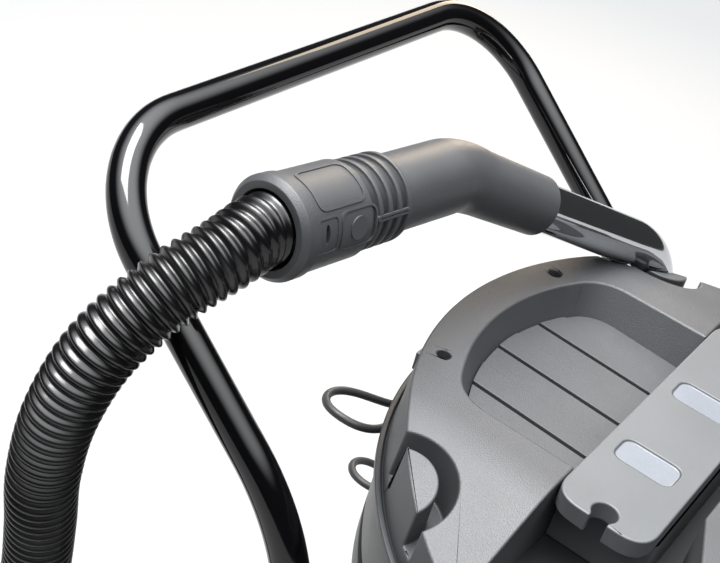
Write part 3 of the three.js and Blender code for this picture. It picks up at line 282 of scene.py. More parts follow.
def tube_outline(length: float, outer: float, inner: float = 0.0, step: float = 4.0) -> Array:
    """The (distance, radius) outline of a tube, out along its outside and back inside."""
    count = max(2, int(length / step))
    out = np.linspace(0.0, length, count)
    edge = min(0.8, (outer - inner) * 0.3)
    outside = np.column_stack([out, np.full(count, outer)])
    outside[0, 0], outside[-1, 0] = edge, length - edge
    rims = np.array([[length, outer - edge], [length, inner]])
    back = np.column_stack([out[::-1], np.full(count, inner)])
    return np.vstack([outside, rims, back if inner > 0 else [[0.0, 0.0]], [[0.0, outer - edge]]])


def rounded_route(corners: Array, radii: list[float], step: float = 3.0) -> Array:
    """A line through corner points, each rounded to its own radius by a true arc.

    The arc's centre lies on the corner's bisector at radius / sin(half the angle), and
    each point is centre + cos(a) P + sin(a) Q, from one touching point to the other.

    Args:
        corners: The corner points.
        radii: One radius for each inner corner.
        step: About how far apart the points are.

    Returns:
        The line's points.
    """
    corners = np.asarray(corners, float)
    pieces, start = [], corners[0]
    for corner, before, after, radius in zip(corners[1:-1], corners, corners[2:], radii):
        back, ahead = unit(before - corner), unit(after - corner)
        half = math.acos(float(np.clip(back @ ahead, -1, 1))) / 2
        centre = corner + unit(back + ahead) * radius / math.sin(half)
        touch = corner + back * radius / math.tan(half)
        count = max(2, int(np.linalg.norm(touch - start) / step))
        pieces.append(np.linspace(start, touch, count, endpoint=False))
        p = touch - centre
        leave = corner + ahead * radius / math.tan(half)
        sweep = math.pi - 2 * half
        q = unit((leave - centre) - p * math.cos(sweep)) * radius
        a = np.linspace(0.0, sweep, max(6, int(radius * sweep / step)), endpoint=False)
        pieces.append(centre + np.cos(a)[:, None] * p + np.sin(a)[:, None] * q)
        start = leave
    count = max(2, int(np.linalg.norm(corners[-1] - start) / step))
    pieces.append(np.linspace(start, corners[-1], count))
    return np.vstack(pieces)


def smooth_route(points: Array, step: float = 3.0) -> Array:
    """A smooth line through points, evenly spaced along its length.

    Between two points it is the cubic a + b u + c u^2 + d u^3 whose end slopes come from
    the neighbours, weighted by the square roots of the distances between them.

    Args:
        points: What the line passes through.
        step: How far apart the new points are.

    Returns:
        The line's points.
    """
    p = np.asarray(points, float)
    p = np.vstack([2 * p[0] - p[1], p, 2 * p[-1] - p[-2]])
    gap = np.sqrt(np.linalg.norm(np.diff(p, axis=0), axis=1))[:, None]
    a, b, c, d = p[:-3], p[1:-2], p[2:-1], p[3:]
    g0, g1, g2 = gap[:-2], gap[1:-1], gap[2:]
    m1 = ((b - a) / g0 - (c - a) / (g0 + g1) + (c - b) / g1) * g1
    m2 = ((c - b) / g1 - (d - b) / (g1 + g2) + (d - c) / g2) * g1
    u = np.linspace(0.0, 1.0, 24, endpoint=False)[None, :, None]
    b, c, m1, m2 = b[:, None], c[:, None], m1[:, None], m2[:, None]
    line = b + m1 * u + (3 * c - 3 * b - 2 * m1 - m2) * u**2 + (2 * b - 2 * c + m1 + m2) * u**3
    line = np.vstack([line.reshape(-1, 3), p[-2]])
    return even_steps(line, step)


def even_steps(line: Array, step: float) -> Array:
    """The same line with its points a given step apart."""
    reach = np.concatenate([[0.0], np.cumsum(np.linalg.norm(np.diff(line, axis=0), axis=1))])
    at = np.linspace(0.0, reach[-1], max(3, int(reach[-1] / step)))
    return np.column_stack([np.interp(at, reach, line[:, k]) for k in range(3)])


# ------------------------------------------------------------------ objects
def make(name: str, *shells: Shell) -> bpy.types.Object:
    """Puts shells into one new object at the origin, closed and facing outwards.

    Args:
        name: The object's name.
        shells: What it is made of.

    Returns:
        The object.
    """
    points, faces, first = [], [], 0
    for shell in shells:
        points.append(to_frame(shell.points))
        faces += [face for block in shell.faces for face in (block + first).tolist()]
        first += len(shell.points)
    mesh = bpy.data.meshes.new(name)
    mesh.from_pydata(np.vstack(points).tolist(), [], faces)
    tidy(mesh)
    thing = bpy.data.objects.new(name, mesh)
    bpy.context.scene.collection.objects.link(thing)
    return thing


def tidy(mesh: bpy.types.Mesh, distance: float = 2e-6) -> None:
    """Merges doubles, drops faces with no area and turns the rest outwards."""
    work = bmesh.new()
    work.from_mesh(mesh)
    bmesh.ops.remove_doubles(work, verts=work.verts, dist=distance)
    bmesh.ops.dissolve_degenerate(work, dist=distance / 4, edges=work.edges)
    bmesh.ops.recalc_face_normals(work, faces=work.faces)
    work.to_mesh(mesh)
    work.free()
    mesh.update()


class Cut(Enum):
    """How one solid changes another."""

    AWAY = "DIFFERENCE"
    ONTO = "UNION"
    WITHIN = "INTERSECT"


def carve(thing: bpy.types.Object, how: Cut, *shells: Shell) -> bpy.types.Object:
    """Cuts shells from an object, joins them to it or keeps what lies in them.

    Args:
        thing: The object that changes.
        how: What is done with the shells.
        shells: The solids, used one after another.

    Returns:
        The object.
    """
    tools = [make(f"tool_{i}", shell) for i, shell in enumerate(shells)]
    for tool in tools:
        change = thing.modifiers.new("carve", "BOOLEAN")
        change.operation, change.solver, change.object = how.value, "EXACT", tool
    bake(thing)
    for tool in tools:
        bpy.data.objects.remove(tool)
    return thing


def bake(thing: bpy.types.Object) -> None:
    """Turns an object's modifiers into its mesh."""
    shown = thing.evaluated_get(bpy.context.evaluated_depsgraph_get())
    mesh = bpy.data.meshes.new_from_object(shown)
    thing.modifiers.clear()
    thing.data = mesh
    tidy(mesh, 2e-5)


def soften(thing: bpy.types.Object, width: float, steps: int = 3, angle: float = 32.0) -> None:
    """Rounds an object's sharp edges and keeps its flat faces flat.

    Args:
        thing: The object.
        width: The rounding, in millimetres.
        steps: How many faces cross the rounding.
        angle: Edges sharper than this are rounded, in degrees.
    """
    rounding = thing.modifiers.new("soft_edges", "BEVEL")
    rounding.width, rounding.segments = width * MM, steps
    rounding.limit_method, rounding.angle_limit = "ANGLE", math.radians(angle)
    rounding.use_clamp_overlap, rounding.miter_outer = False, "MITER_ARC"
    flat = thing.modifiers.new("flat_faces", "WEIGHTED_NORMAL")
    flat.keep_sharp = True


def settle(
    thing: bpy.types.Object,
    finish: "Finish",
    body: str = "machine",
    stands_for: tuple[str, ...] = (),
    smooth: float = 35.0,
) -> bpy.types.Object:
    """Gives a finished shape its finish, its body and the nodes it stands for.

    Args:
        thing: The object.
        finish: Its finish.
        body: The body it moves with.
        stands_for: The nodes it replaces.
        smooth: Edges flatter than this are shaded smooth, in degrees.

    Returns:
        The object.
    """
    mesh = thing.data
    mesh.polygons.foreach_set("use_smooth", np.ones(len(mesh.polygons), bool))
    mesh.set_sharp_from_angle(angle=math.radians(smooth))
    if not mesh.materials:
        mesh.materials.append(finish.material())
    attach(thing, body)
    if stands_for:
        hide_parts(*stands_for)
    LOG.info("%s: %d faces on %s", thing.name, len(mesh.polygons), body)
    return thing


def from_node(
    node: str, finish: "Finish", width: float = 0.8, body: str = "machine"
) -> bpy.types.Object:
    """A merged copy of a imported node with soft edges, in place of the node.

    Args:
        node: The node's name.
        finish: The finish.
        width: The rounding of its edges, in millimetres.
        body: The body it moves with.

    Returns:
        The copy.
    """
    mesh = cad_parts[node].data.copy()
    mesh.materials.clear()
    tidy(mesh, 2e-5)
    thing = bpy.data.objects.new(f"{node}_moulding", mesh)
    bpy.context.scene.collection.objects.link(thing)
    soften(thing, width, 2)
    return settle(thing, finish, body, (node,), 40.0)


def dress(finish: "Finish", *nodes: str) -> None:
    """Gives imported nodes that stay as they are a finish."""
    for node in nodes:
        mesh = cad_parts[node].data
        mesh.materials.clear()
        mesh.materials.append(finish.material())


# ------------------------------------------------------------------ finishes
def srgb(code: str) -> tuple[float, float, float, float]:
    """A six-digit sRGB colour as linear light: ((c + 0.055) / 1.055) ^ 2.4 above 0.04045."""
    value = np.array([int(code[i : i + 2], 16) / 255 for i in (0, 2, 4)])
    linear = np.where(value > 0.04045, ((value + 0.055) / 1.055) ** 2.4, value / 12.92)
    return (*linear.tolist(), 1.0)


def add_node(
    tree: bpy.types.NodeTree, kind: str, settings: dict | None = None, links: dict | None = None
) -> bpy.types.Node:
    """Adds a node with its settings and links.

    Args:
        tree: The material's nodes.
        kind: The node's type.
        settings: Values for its sockets, by name or number, or for its properties.
        links: The output that feeds each of its sockets.

    Returns:
        The node.
    """
    made = tree.nodes.new(kind)
    entries = list((settings or {}).items())
    for key, value in entries:
        if isinstance(key, str) and hasattr(made, key):
            setattr(made, key, value)
    for key, value in entries:
        if not (isinstance(key, str) and hasattr(made, key)):
            made.inputs[key].default_value = value
    for key, source in (links or {}).items():
        tree.links.new(source, made.inputs[key])
    return made


@dataclass(frozen=True)
class Finish:
    """What a surface is made of and how it looks."""

    name: str
    slot: str
    colour: str
    roughness: float
    metallic: float = 0.0
    ior: float = 1.5
    coat: float = 0.0
    coat_roughness: float = 0.05
    shade: float = 0.12
    patch_mm: float = 60.0
    grain_mm: float = 1.0
    grain_depth_mm: float = 0.05
    grain_strength: float = 0.3
    rough_span: float = 0.05
    stretch: tuple[float, float, float] = (1.0, 1.0, 1.0)

    def material(self) -> bpy.types.Material:
        """The finish as a material, made once.

        Broad noise moves the colour between two tones and the roughness between two
        values; fine noise of the grain's size bumps the surface.

        Returns:
            The material.
        """
        found = bpy.data.materials.get(self.name)
        if found:
            return found
        made = bpy.data.materials.new(self.name)
        made.use_nodes = True
        tree = made.node_tree
        shader = tree.nodes["Principled BSDF"]
        base = srgb(self.colour)
        made.diffuse_color = base
        shader.inputs["Metallic"].default_value = self.metallic
        if self.metallic < 0.5:
            shader.inputs["IOR"].default_value = self.ior
        shader.inputs["Coat Weight"].default_value = self.coat
        shader.inputs["Coat Roughness"].default_value = self.coat_roughness
        place = add_node(tree, "ShaderNodeTexCoord").outputs["Object"]
        laid = add_node(
            tree, "ShaderNodeMapping", {"Scale": self.stretch}, {"Vector": place}
        ).outputs["Vector"]
        patches = add_node(
            tree,
            "ShaderNodeTexNoise",
            {"Scale": 1000 / self.patch_mm, "Detail": 4.0, "Roughness": 0.55},
            {"Vector": place},
        ).outputs["Fac"]
        grain = add_node(
            tree,
            "ShaderNodeTexNoise",
            {"Scale": 1000 / self.grain_mm, "Detail": 2.0, "Roughness": 0.5},
            {"Vector": laid},
        ).outputs["Fac"]
        dark = tuple(c * (1 - self.shade) for c in base[:3]) + (1.0,)
        light = tuple(min(1.0, c * (1 + self.shade)) for c in base[:3]) + (1.0,)
        speckle = add_node(
            tree,
            "ShaderNodeMath",
            {"operation": "MULTIPLY_ADD", 1: 0.5, 2: 0.0},
            {0: grain},
        ).outputs["Value"]
        blend = add_node(
            tree, "ShaderNodeMath", {"operation": "MULTIPLY_ADD", 1: 0.5}, {0: patches, 2: speckle}
        ).outputs["Value"]
        spread = add_node(
            tree, "ShaderNodeMapRange", {"From Min": 0.32, "From Max": 0.68}, {"Value": blend}
        ).outputs["Result"]
        colour = add_node(
            tree,
            "ShaderNodeMix",
            {"data_type": "RGBA", 6: dark, 7: light},
            {0: spread},
        ).outputs[2]
        rough = add_node(
            tree,
            "ShaderNodeMapRange",
            {
                "From Min": 0.3,
                "From Max": 0.7,
                "To Min": max(0.02, self.roughness - self.rough_span),
                "To Max": self.roughness + self.rough_span,
            },
            {"Value": patches},
        ).outputs["Result"]
        bump = add_node(
            tree,
            "ShaderNodeBump",
            {"Strength": self.grain_strength, "Distance": self.grain_depth_mm * MM},
            {"Height": grain},
        ).outputs["Normal"]
        tree.links.new(colour, shader.inputs["Base Color"])
        tree.links.new(rough, shader.inputs["Roughness"])
        tree.links.new(bump, shader.inputs["Normal"])
        return made


# Spark-eroded ABS, a fine pebbled grey that scatters light; its 0.5 mm grain is drawn at 0.9.
HEAD_ABS = Finish(
    "abs_grey_textured", "head_plastic", "343537", 0.5, grain_mm=0.9, grain_depth_mm=0.35,
    grain_strength=0.8, shade=0.14,
)
# The same ABS left smooth and shinier on the two recessed patches, and given a paler colour there as a
# painted sheen.
PATCH_ABS = Finish(
    "abs_grey_smooth_painted_sheen", "head_plastic", "5c6066", 0.34, grain_mm=1.4, grain_strength=0.1
)
# The handle, with a shallower grain, painted a little paler than the head as a painted sheen of the
# light from above.
SLAB_ABS = Finish(
    "abs_grey_painted_sheen", "head_plastic", "484a4c", 0.48, grain_mm=0.9, grain_depth_mm=0.2,
    grain_strength=0.45, shade=0.1,
)
# Dark moulded polypropylene with a fine leather of grain, for grips, cuffs and rings.
DARK_PP = Finish(
    "polypropylene_dark", "dark_plastic", "333436", 0.44, grain_mm=0.8, grain_depth_mm=0.3,
    grain_strength=0.7, shade=0.14,
)
# Black nylon, a little waxy, on the trolley and the wheels' hubs.
BLACK_NYLON = Finish(
    "nylon_black", "dark_plastic", "1f2022", 0.42, grain_mm=1.0, grain_depth_mm=0.1
)
# Stove enamel on bent tube: deep black, mirror-like, with the faint orange peel of spraying.
BLACK_ENAMEL = Finish(
    "stove_enamel_black", "black_enamel", "030304", 0.08,
    grain_mm=9.0, grain_depth_mm=0.12, grain_strength=0.12, rough_span=0.03, shade=0.05,
)
# Chromed steel tube: a bright mirror with a few greasy patches.
CHROME = Finish(
    "chrome_plate", "chrome_tube", "d2d4d6", 0.09, metallic=1.0, grain_mm=14.0,
    grain_depth_mm=0.1, grain_strength=0.06, rough_span=0.04, shade=0.03,
)
# Stainless sheet brushed round the tank: long level scratches, drawn 0.6 mm apart.
BRUSHED = Finish(
    "stainless_brushed", "brushed_tank", "b4b6b8", 0.3, metallic=1.0, grain_mm=22.0,
    grain_depth_mm=0.08, grain_strength=0.35, stretch=(0.4, 0.4, 36.0), shade=0.05,
)
# Soft PVC hose: black, wet-looking, slightly uneven from blow moulding.
HOSE_PVC = Finish(
    "pvc_hose_black", "hose_plastic", "060607", 0.26, grain_mm=3.0, grain_depth_mm=0.08,
    grain_strength=0.2, rough_span=0.06,
)
# Matt PVC sheath of the mains lead.
CORD_PVC = Finish("pvc_cord_dark", "black_rubber", "27282a", 0.48, grain_mm=1.2)
# Moulded rubber: gaskets, rockers, the cord's sleeve.
RUBBER = Finish("rubber_black", "black_rubber", "1a1b1c", 0.72, grain_mm=0.8, grain_depth_mm=0.1)
# Tyre rubber, greyed a little by dust.
TYRE = Finish("rubber_tyre", "tyre_rubber", "232324", 0.8, grain_mm=1.6, grain_depth_mm=0.2)
# Zinc-plated steel: dull, bluish and cloudy.
ZINC = Finish(
    "zinc_plate", "zinc_steel", "a6aab0", 0.36, metallic=1.0, patch_mm=9.0, shade=0.14,
    rough_span=0.1,
)
# Die-cast aluminium of the motor housings.
CASTING = Finish(
    "aluminium_cast", "motor_casting", "9a9da1", 0.5, metallic=1.0, grain_mm=1.5,
    grain_depth_mm=0.15,
)
# Closed-cell foam of the float.
FOAM = Finish("foam_ivory", "filter_foam", "d9d4c6", 0.9, grain_mm=1.8, grain_depth_mm=0.4)


# ------------------------------------------------------------------ camera and light
@dataclass
class Studio:
    """The camera, the floor and the lights."""

    eye: tuple[float, float, float] = (-742.2, -37.2, 1330.3)
    ahead: tuple[float, float, float] = (0.7378, 0.3886, -0.5520)
    right: tuple[float, float, float] = (0.5795, -0.7840, 0.2225)
    lens: float = 64.935

    def camera(self) -> None:
        """Sets the camera: its axes are right, up and backwards, made square."""
        back = -unit(self.ahead)
        right = unit(np.asarray(self.right) - (np.asarray(self.right) @ back) * back)
        up = np.cross(back, right)
        data = bpy.data.cameras.new("camera")
        data.lens, data.sensor_width, data.sensor_fit = self.lens, 36.0, "HORIZONTAL"
        data.clip_start, data.clip_end = 0.05, 60.0
        holder = bpy.data.objects.new("camera", data)
        bpy.context.scene.collection.objects.link(holder)
        turn = np.eye(4)
        turn[:3, :3] = np.column_stack([right, up, back])
        turn[:3, 3] = to_frame(self.eye)
        holder.matrix_world = Matrix(turn.tolist())
        bpy.context.scene.camera = holder

    def floor(self) -> None:
        """Lays a plain pale floor."""
        a = disc(9000.0, segments=64)
        sheet = Shell(np.column_stack([a, np.full(len(a), -0.5)]), [np.arange(len(a))[None]])
        ground = make("floor", sheet)
        made = bpy.data.materials.new("floor_pale")
        made.use_nodes = True
        shader = made.node_tree.nodes["Principled BSDF"]
        shader.inputs["Base Color"].default_value = srgb("868686")
        shader.inputs["Roughness"].default_value = 0.9
        ground.data.materials.append(made)

    def lamp(
        self, name: str, place: tuple[float, float, float], size: tuple[float, float],
        watts: float, colour: str = "ffffff", aim: tuple[float, float, float] = (0.0, 150.0, 700.0),
    ) -> None:
        """Hangs a rectangular soft light that faces a point.

        Args:
            name: Its name.
            place: Where it hangs.
            size: Its width and height.
            watts: Its power.
            colour: Its colour.
            aim: The point that it faces.
        """
        data = bpy.data.lights.new(name, "AREA")
        data.shape, data.size, data.size_y = "RECTANGLE", size[0] * MM, size[1] * MM
        data.energy, data.color = watts, srgb(colour)[:3]
        holder = bpy.data.objects.new(name, data)
        bpy.context.scene.collection.objects.link(holder)
        u, v, w = basis(np.asarray(place) - np.asarray(aim))
        turn = np.eye(4)
        turn[:3, :3] = np.column_stack([u, v, w])
        turn[:3, 3] = to_frame(place)
        holder.matrix_world = Matrix(turn.tolist())

    def light(self) -> None:
        """Hangs the lights and sets a pale sky, bright overhead and dim at the horizon.

        With z as the height of a direction on the unit sphere, the sky's strength is
        smooth: 0.05 up to z 0.45, rising to 6 at z 0.95.
        """
        sky = bpy.data.worlds.new("sky")
        sky.use_nodes = True
        tree = sky.node_tree
        place = add_node(tree, "ShaderNodeTexCoord").outputs["Generated"]
        height = add_node(tree, "ShaderNodeSeparateXYZ", links={"Vector": place}).outputs["Z"]
        strength = add_node(
            tree,
            "ShaderNodeMapRange",
            {"interpolation_type": "SMOOTHSTEP", "From Min": 0.45, "From Max": 0.95,
             "To Min": 0.05, "To Max": 6.0},
            {"Value": height},
        ).outputs["Result"]
        ground = tree.nodes["Background"]
        ground.inputs["Color"].default_value = (0.97, 0.985, 1.0, 1.0)
        tree.links.new(strength, ground.inputs["Strength"])
        bpy.context.scene.world = sky
        self.lamp("sky_panel", (-150.0, 900.0, 3100.0), (1700.0, 1300.0), 150.0)
        self.lamp("right_strip", (2300.0, 1200.0, 1700.0), (600.0, 2000.0), 24.0, "ffe9cc")

    def build(self) -> None:
        """Makes the whole studio, seen through a plain sRGB curve."""
        bpy.context.scene.view_settings.view_transform = "Standard"
        self.camera()
        self.floor()
        self.light()


# ------------------------------------------------------------------ wand line
WAND_X, WAND_Y = 207.0, 194.0
WAND_HEADING = unit(np.array([-0.91, 0.415]))
WAND_RISE = math.tan(math.radians(22.0))
WAND_KNEE_Z = TOP_Z - 10.0
GRIP_AXIS = unit(np.array([-0.992, 0.0958, 0.079]))


def wand_point(distance: float) -> Array:
    """A point on the wand's upper run, by its level distance from the upright run."""
    x, y = np.array([WAND_X, WAND_Y]) + WAND_HEADING * distance
    return np.array([x, y, WAND_KNEE_Z + WAND_RISE * distance])


BEND = wand_point(247.0)


# ------------------------------------------------------------------ head
HEAD_R, HEAD_DRAFT = 263.3, 3.7
DECK_Z = TOP_Z - 56.0
BASE_BOTTOM = TOP_Z - 116.0
LIP_R, BASE_R = 272.5, 268.0
COVER_FRONT = 116.5


def lying(outline: Array, low: float, high: float, axis: str, top: Array | None = None) -> Shell:
    """A flat outline carried sideways: (Y, Z) points along X, or (X, Z) points along Y.

    Args:
        outline: The closed outline.
        low: Where it starts.
        high: Where it ends.
        axis: "X" or "Y".
        top: The outline at its end, if it differs.

    Returns:
        The shell.
    """
    shell = prism(outline, low, high, top)
    order = [2, 0, 1] if axis == "X" else [0, 2, 1]
    return Shell(shell.points[:, order], shell.faces)


def facet_wedge(side: float, start: float = 139.0, slope: float = 14.4) -> Shell:
    """The material planed off one side of the head, starting in a soft crease.

    Args:
        side: 1 for the machine's right, -1 for its left.
        start: Where the facet starts, from the middle.
        slope: How steeply it falls, in degrees.

    Returns:
        The shell.
    """
    fall = math.tan(math.radians(slope))
    t = np.linspace(0.0, 1.0, 9)
    x = start - 14 + 28 * t
    z = TOP_Z - 14 * fall * t**2
    crease = np.column_stack([x, z])
    rest = [(400.0, TOP_Z - (400 - start) * fall), (400.0, 1000.0), (start - 14, 1000.0)]
    return lying(np.vstack([crease, rest]) * [side, 1.0], -400.0, 400.0, "Y")


def wand_channel() -> list[Shell]:
    """The room cut for the wand through the head and the tank's ring."""
    run = Path(wand_line(1.0))
    shaft = prism(disc(21.0, WAND_X, WAND_Y, 72), 180.0, TOP_Z - 30)
    return [shaft, run.carry(tube_outline(run.length, 20.6), 48)]


def wand_line(end_level: float) -> Array:
    """The wand's centreline from its joint up over the knee.

    Args:
        end_level: How much of the upper run is taken, from 0 to 1.

    Returns:
        The line's points, from the top down.
    """
    corners = [wand_point(206.0 * end_level), wand_point(0.0), (WAND_X, WAND_Y, 460.0)]
    return rounded_route(np.array(corners), [80.0], 4.0)


@dataclass
class RearCover:
    """The head's rear cover with the tool tray and the grooves for the hose hooks."""

    tray_half: float = 108.0
    arc_radius: float = 200.0
    arc_y: float = 35.5
    corner: float = 34.0
    taper: float = 0.87
    depth: float = 31.0
    groove: tuple[float, float] = (192.5, 191.7)
    grooves: tuple[float, ...] = (-58.5, -7.0, 44.5)

    def tray_outline(self, scale: float, grow: float = 0.0, steps: int = 24) -> Array:
        """The tray's plan: straight in front, a wide arc behind, round rear corners.

        Args:
            scale: How far it is shrunk towards its middle.
            grow: How far it is pushed outwards after that.
            steps: The points in each arc.

        Returns:
            The closed outline.
        """
        half = self.tray_half * scale + grow
        radius = self.arc_radius * scale + grow
        arc_y = COVER_FRONT + (self.arc_y - COVER_FRONT) * scale + (1 - scale) * 44
        corner = self.corner * scale
        x = half - corner
        y = arc_y + math.sqrt((radius - corner) ** 2 - x**2)
        tilt = math.atan2(y - arc_y, x)
        turn = np.linspace(0.0, tilt, steps)
        right = np.column_stack([x + corner * np.cos(turn), y + corner * np.sin(turn)])
        sweep = np.linspace(tilt, math.pi - tilt, steps * 2)[1:-1]
        back = np.column_stack([radius * np.cos(sweep), arc_y + radius * np.sin(sweep)])
        left = right[::-1] * [-1.0, 1.0]
        front = [(-half, COVER_FRONT - 20), (half, COVER_FRONT - 20)]
        return np.vstack([front, right, back, left])

    def shell(self) -> bpy.types.Object:
        """Makes the cover."""
        bottom = DECK_Z + GAP
        cone = [(0.0, bottom), (HEAD_R + HEAD_DRAFT, bottom), (HEAD_R, TOP_Z), (0.0, TOP_Z)]
        cover = make("rear_cover_moulding", revolve(cone, 288))
        carve(cover, Cut.AWAY, box((-400, -400, 0), (400, COVER_FRONT, 1000)))
        carve(cover, Cut.AWAY, facet_wedge(1.0), facet_wedge(-1.0))
        floor, rim = self.tray_outline(self.taper), self.tray_outline(1.0)
        carve(cover, Cut.AWAY, prism(floor, TOP_Z - self.depth, TOP_Z + 1, rim))
        for side in (-1, 1):
            x, y = self.groove[0] * side, self.groove[1]
            ring = [(25.3, 0.0), (37.3, 0.0), (37.3, 60.0), (25.3, 60.0)]
            carve(cover, Cut.AWAY, revolve(ring, 96, (x, y, TOP_Z - 44)))
            carve(cover, Cut.AWAY, prism(disc(5.0, 80.0 * side, 235.0), TOP_Z - 26, TOP_Z + 1))
        carve(cover, Cut.AWAY, *wand_channel())
        soften(cover, 1.3, 3, 30.0)
        return settle(cover, HEAD_ABS, stands_for=("rear_cover",), smooth=28.0)

    def floor(self) -> bpy.types.Object:
        """Makes the tray's floor: planks with grooves between them and a step along each.

        Its top falls towards the front; each plank's right half lies 0.9 mm lower.
        """
        low, shrink = TOP_Z - self.depth + GAP, -0.9
        plate = make("tray_floor_moulding", prism(
            self.tray_outline(self.taper, shrink), low, TOP_Z, self.tray_outline(0.99, shrink)
        ))
        x, z = [-130.0], [0.0]
        for groove in self.grooves:
            x += [groove - 1.3, groove - 1.3, groove + 1.3, groove + 1.3, groove + 25.7, groove + 25.7]
            z += [0.0, -4.0, -4.0, 0.9, 0.9, 0.0]
        top = np.column_stack([[*x, 130.0], [*z, 0.0]])
        ends = np.array([[130.0, -20.0], [-130.0, -20.0]])
        front = np.vstack([top, ends]) + [0.0, TOP_Z - 28.2]
        rear = np.vstack([top, ends]) + [0.0, TOP_Z - 23.4]
        carve(plate, Cut.WITHIN, lying(front, COVER_FRONT + GAP, 240.0, "Y", rear))
        soften(plate, 0.35, 2, 40.0)
        return settle(plate, HEAD_ABS, stands_for=("tray_floor",), smooth=28.0)

    def build(self) -> None:
        """Makes the cover, its floor and its two screws."""
        self.shell()
        self.floor()
        for name in ("left", "right"):
            from_node(f"cover_screw_{name}", ZINC, 0.2)


@dataclass
class BridgeHandle:
    """The flush handle that bridges the gap between the covers."""

    half: float = 138.0
    front: float = 50.5
    thick: float = 14.0
    pockets: tuple[float, float] = (-63.0, 29.2)

    def build(self) -> None:
        """Makes the slab, its web, the keyholes at its ends and the two pockets."""
        back = COVER_FRONT - GAP
        bottom = TOP_Z - self.thick
        slab = rounded_rectangle(-self.half, self.front, self.half, back, 15.0)
        handle = make("bridge_handle_moulding", prism(slab, bottom, TOP_Z))
        web = box((-112, self.front + 0.01, DECK_Z + GAP), (112, back, bottom + 1))
        carve(handle, Cut.ONTO, web)
        hollow = box((-108, self.front + 4, DECK_Z - 1), (108, back - 4, bottom))
        middle = (self.front + COVER_FRONT) / 2
        tools = [hollow]
        for side in (-1, 1):
            x = side * (self.half - 9.7)
            tools.append(prism(disc(8.6, x, middle), bottom - 1, TOP_Z + 1))
            x0, x1 = sorted((x, x + side * 20))
            tools.append(box((x0, middle - 6, bottom - 1), (x1, middle + 6, TOP_Z + 1)))
        for x in self.pockets:
            outline = rounded_rectangle(x - 12.5, middle - 19.65, x + 12.5, middle + 22.65, 6.3)
            tools.append(prism(outline, TOP_Z - 1.5, TOP_Z + 1))
        carve(handle, Cut.AWAY, *tools)
        mesh = handle.data
        mesh.materials.append(SLAB_ABS.material())
        mesh.materials.append(PATCH_ABS.material())
        # The pocket floors take the paler smooth finish, whose paler colour is a painted sheen.
        floor_z = TOP_Z * MM - 0.0012
        for face in mesh.polygons:
            x, _, z = (np.array(face.center) - ORIGIN).tolist()
            in_pocket = any(abs(x - p * MM) < 0.013 for p in self.pockets)
            face.material_index = int(in_pocket and floor_z - 0.0006 < z < floor_z)
        soften(handle, 1.1, 3, 30.0)
        settle(handle, SLAB_ABS, stands_for=("bridge_handle",), smooth=28.0)


@dataclass
class FrontCover:
    """The low front cover with the sloping switch panel."""

    rear: float = 36.0
    half: float = 80.0
    radius: float = 236.0
    slope_start: float = -100.0
    slope: float = 16.0

    def outline(self, steps: int = 96) -> Array:
        """The cover's plan."""
        side_x = math.sqrt(self.radius**2 - 400)
        start = math.atan2(-20.0, side_x)
        a = np.linspace(math.pi - start, 2 * math.pi + start, steps)
        arc = np.column_stack([np.cos(a), np.sin(a)]) * self.radius
        return np.vstack([[(self.half, self.rear), (-self.half, self.rear)], arc])

    def on_panel(self, shell: Shell) -> Shell:
        """A shell made flat about the panel's middle, tilted with the panel."""
        tilt = math.radians(self.slope)
        c, s = math.cos(tilt), math.sin(tilt)
        turn = np.array([[1, 0, 0], [0, c, -s], [0, s, c]])
        middle = [0.0, self.slope_start - 74 * c, TOP_Z - 74 * s]
        return Shell(shell.points @ turn.T + middle, shell.faces)

    def build(self) -> None:
        """Makes the cover, the panel and the two rocker switches."""
        cover = make("front_cover_moulding", prism(self.outline(), DECK_Z + GAP, TOP_Z))
        carve(cover, Cut.AWAY, facet_wedge(1.0), facet_wedge(-1.0))
        fall = math.tan(math.radians(self.slope))
        y = self.slope_start
        soft = [(y + 10 - 20 * t, TOP_Z - 10 * fall * t**2) for t in np.linspace(0.0, 1.0, 8)]
        wedge = [*soft, (y - 300, TOP_Z - 300 * fall), (y - 300, 1000.0), (y + 10, 1000.0)]
        carve(cover, Cut.AWAY, lying(np.array(wedge), -400.0, 400.0, "X"))
        window = rounded_rectangle(-50.0, -22.0, 50.0, 22.0, 4.0)
        carve(cover, Cut.AWAY, self.on_panel(prism(window, -12.0, 20.0)))
        soften(cover, 1.6, 3, 30.0)
        settle(cover, HEAD_ABS, stands_for=("front_cover",), smooth=28.0)
        from_node("switch_panel", DARK_PP, 0.8)
        for number in (1, 2):
            from_node(f"rocker_switch_{number}", RUBBER, 0.9, f"switch_{number}")


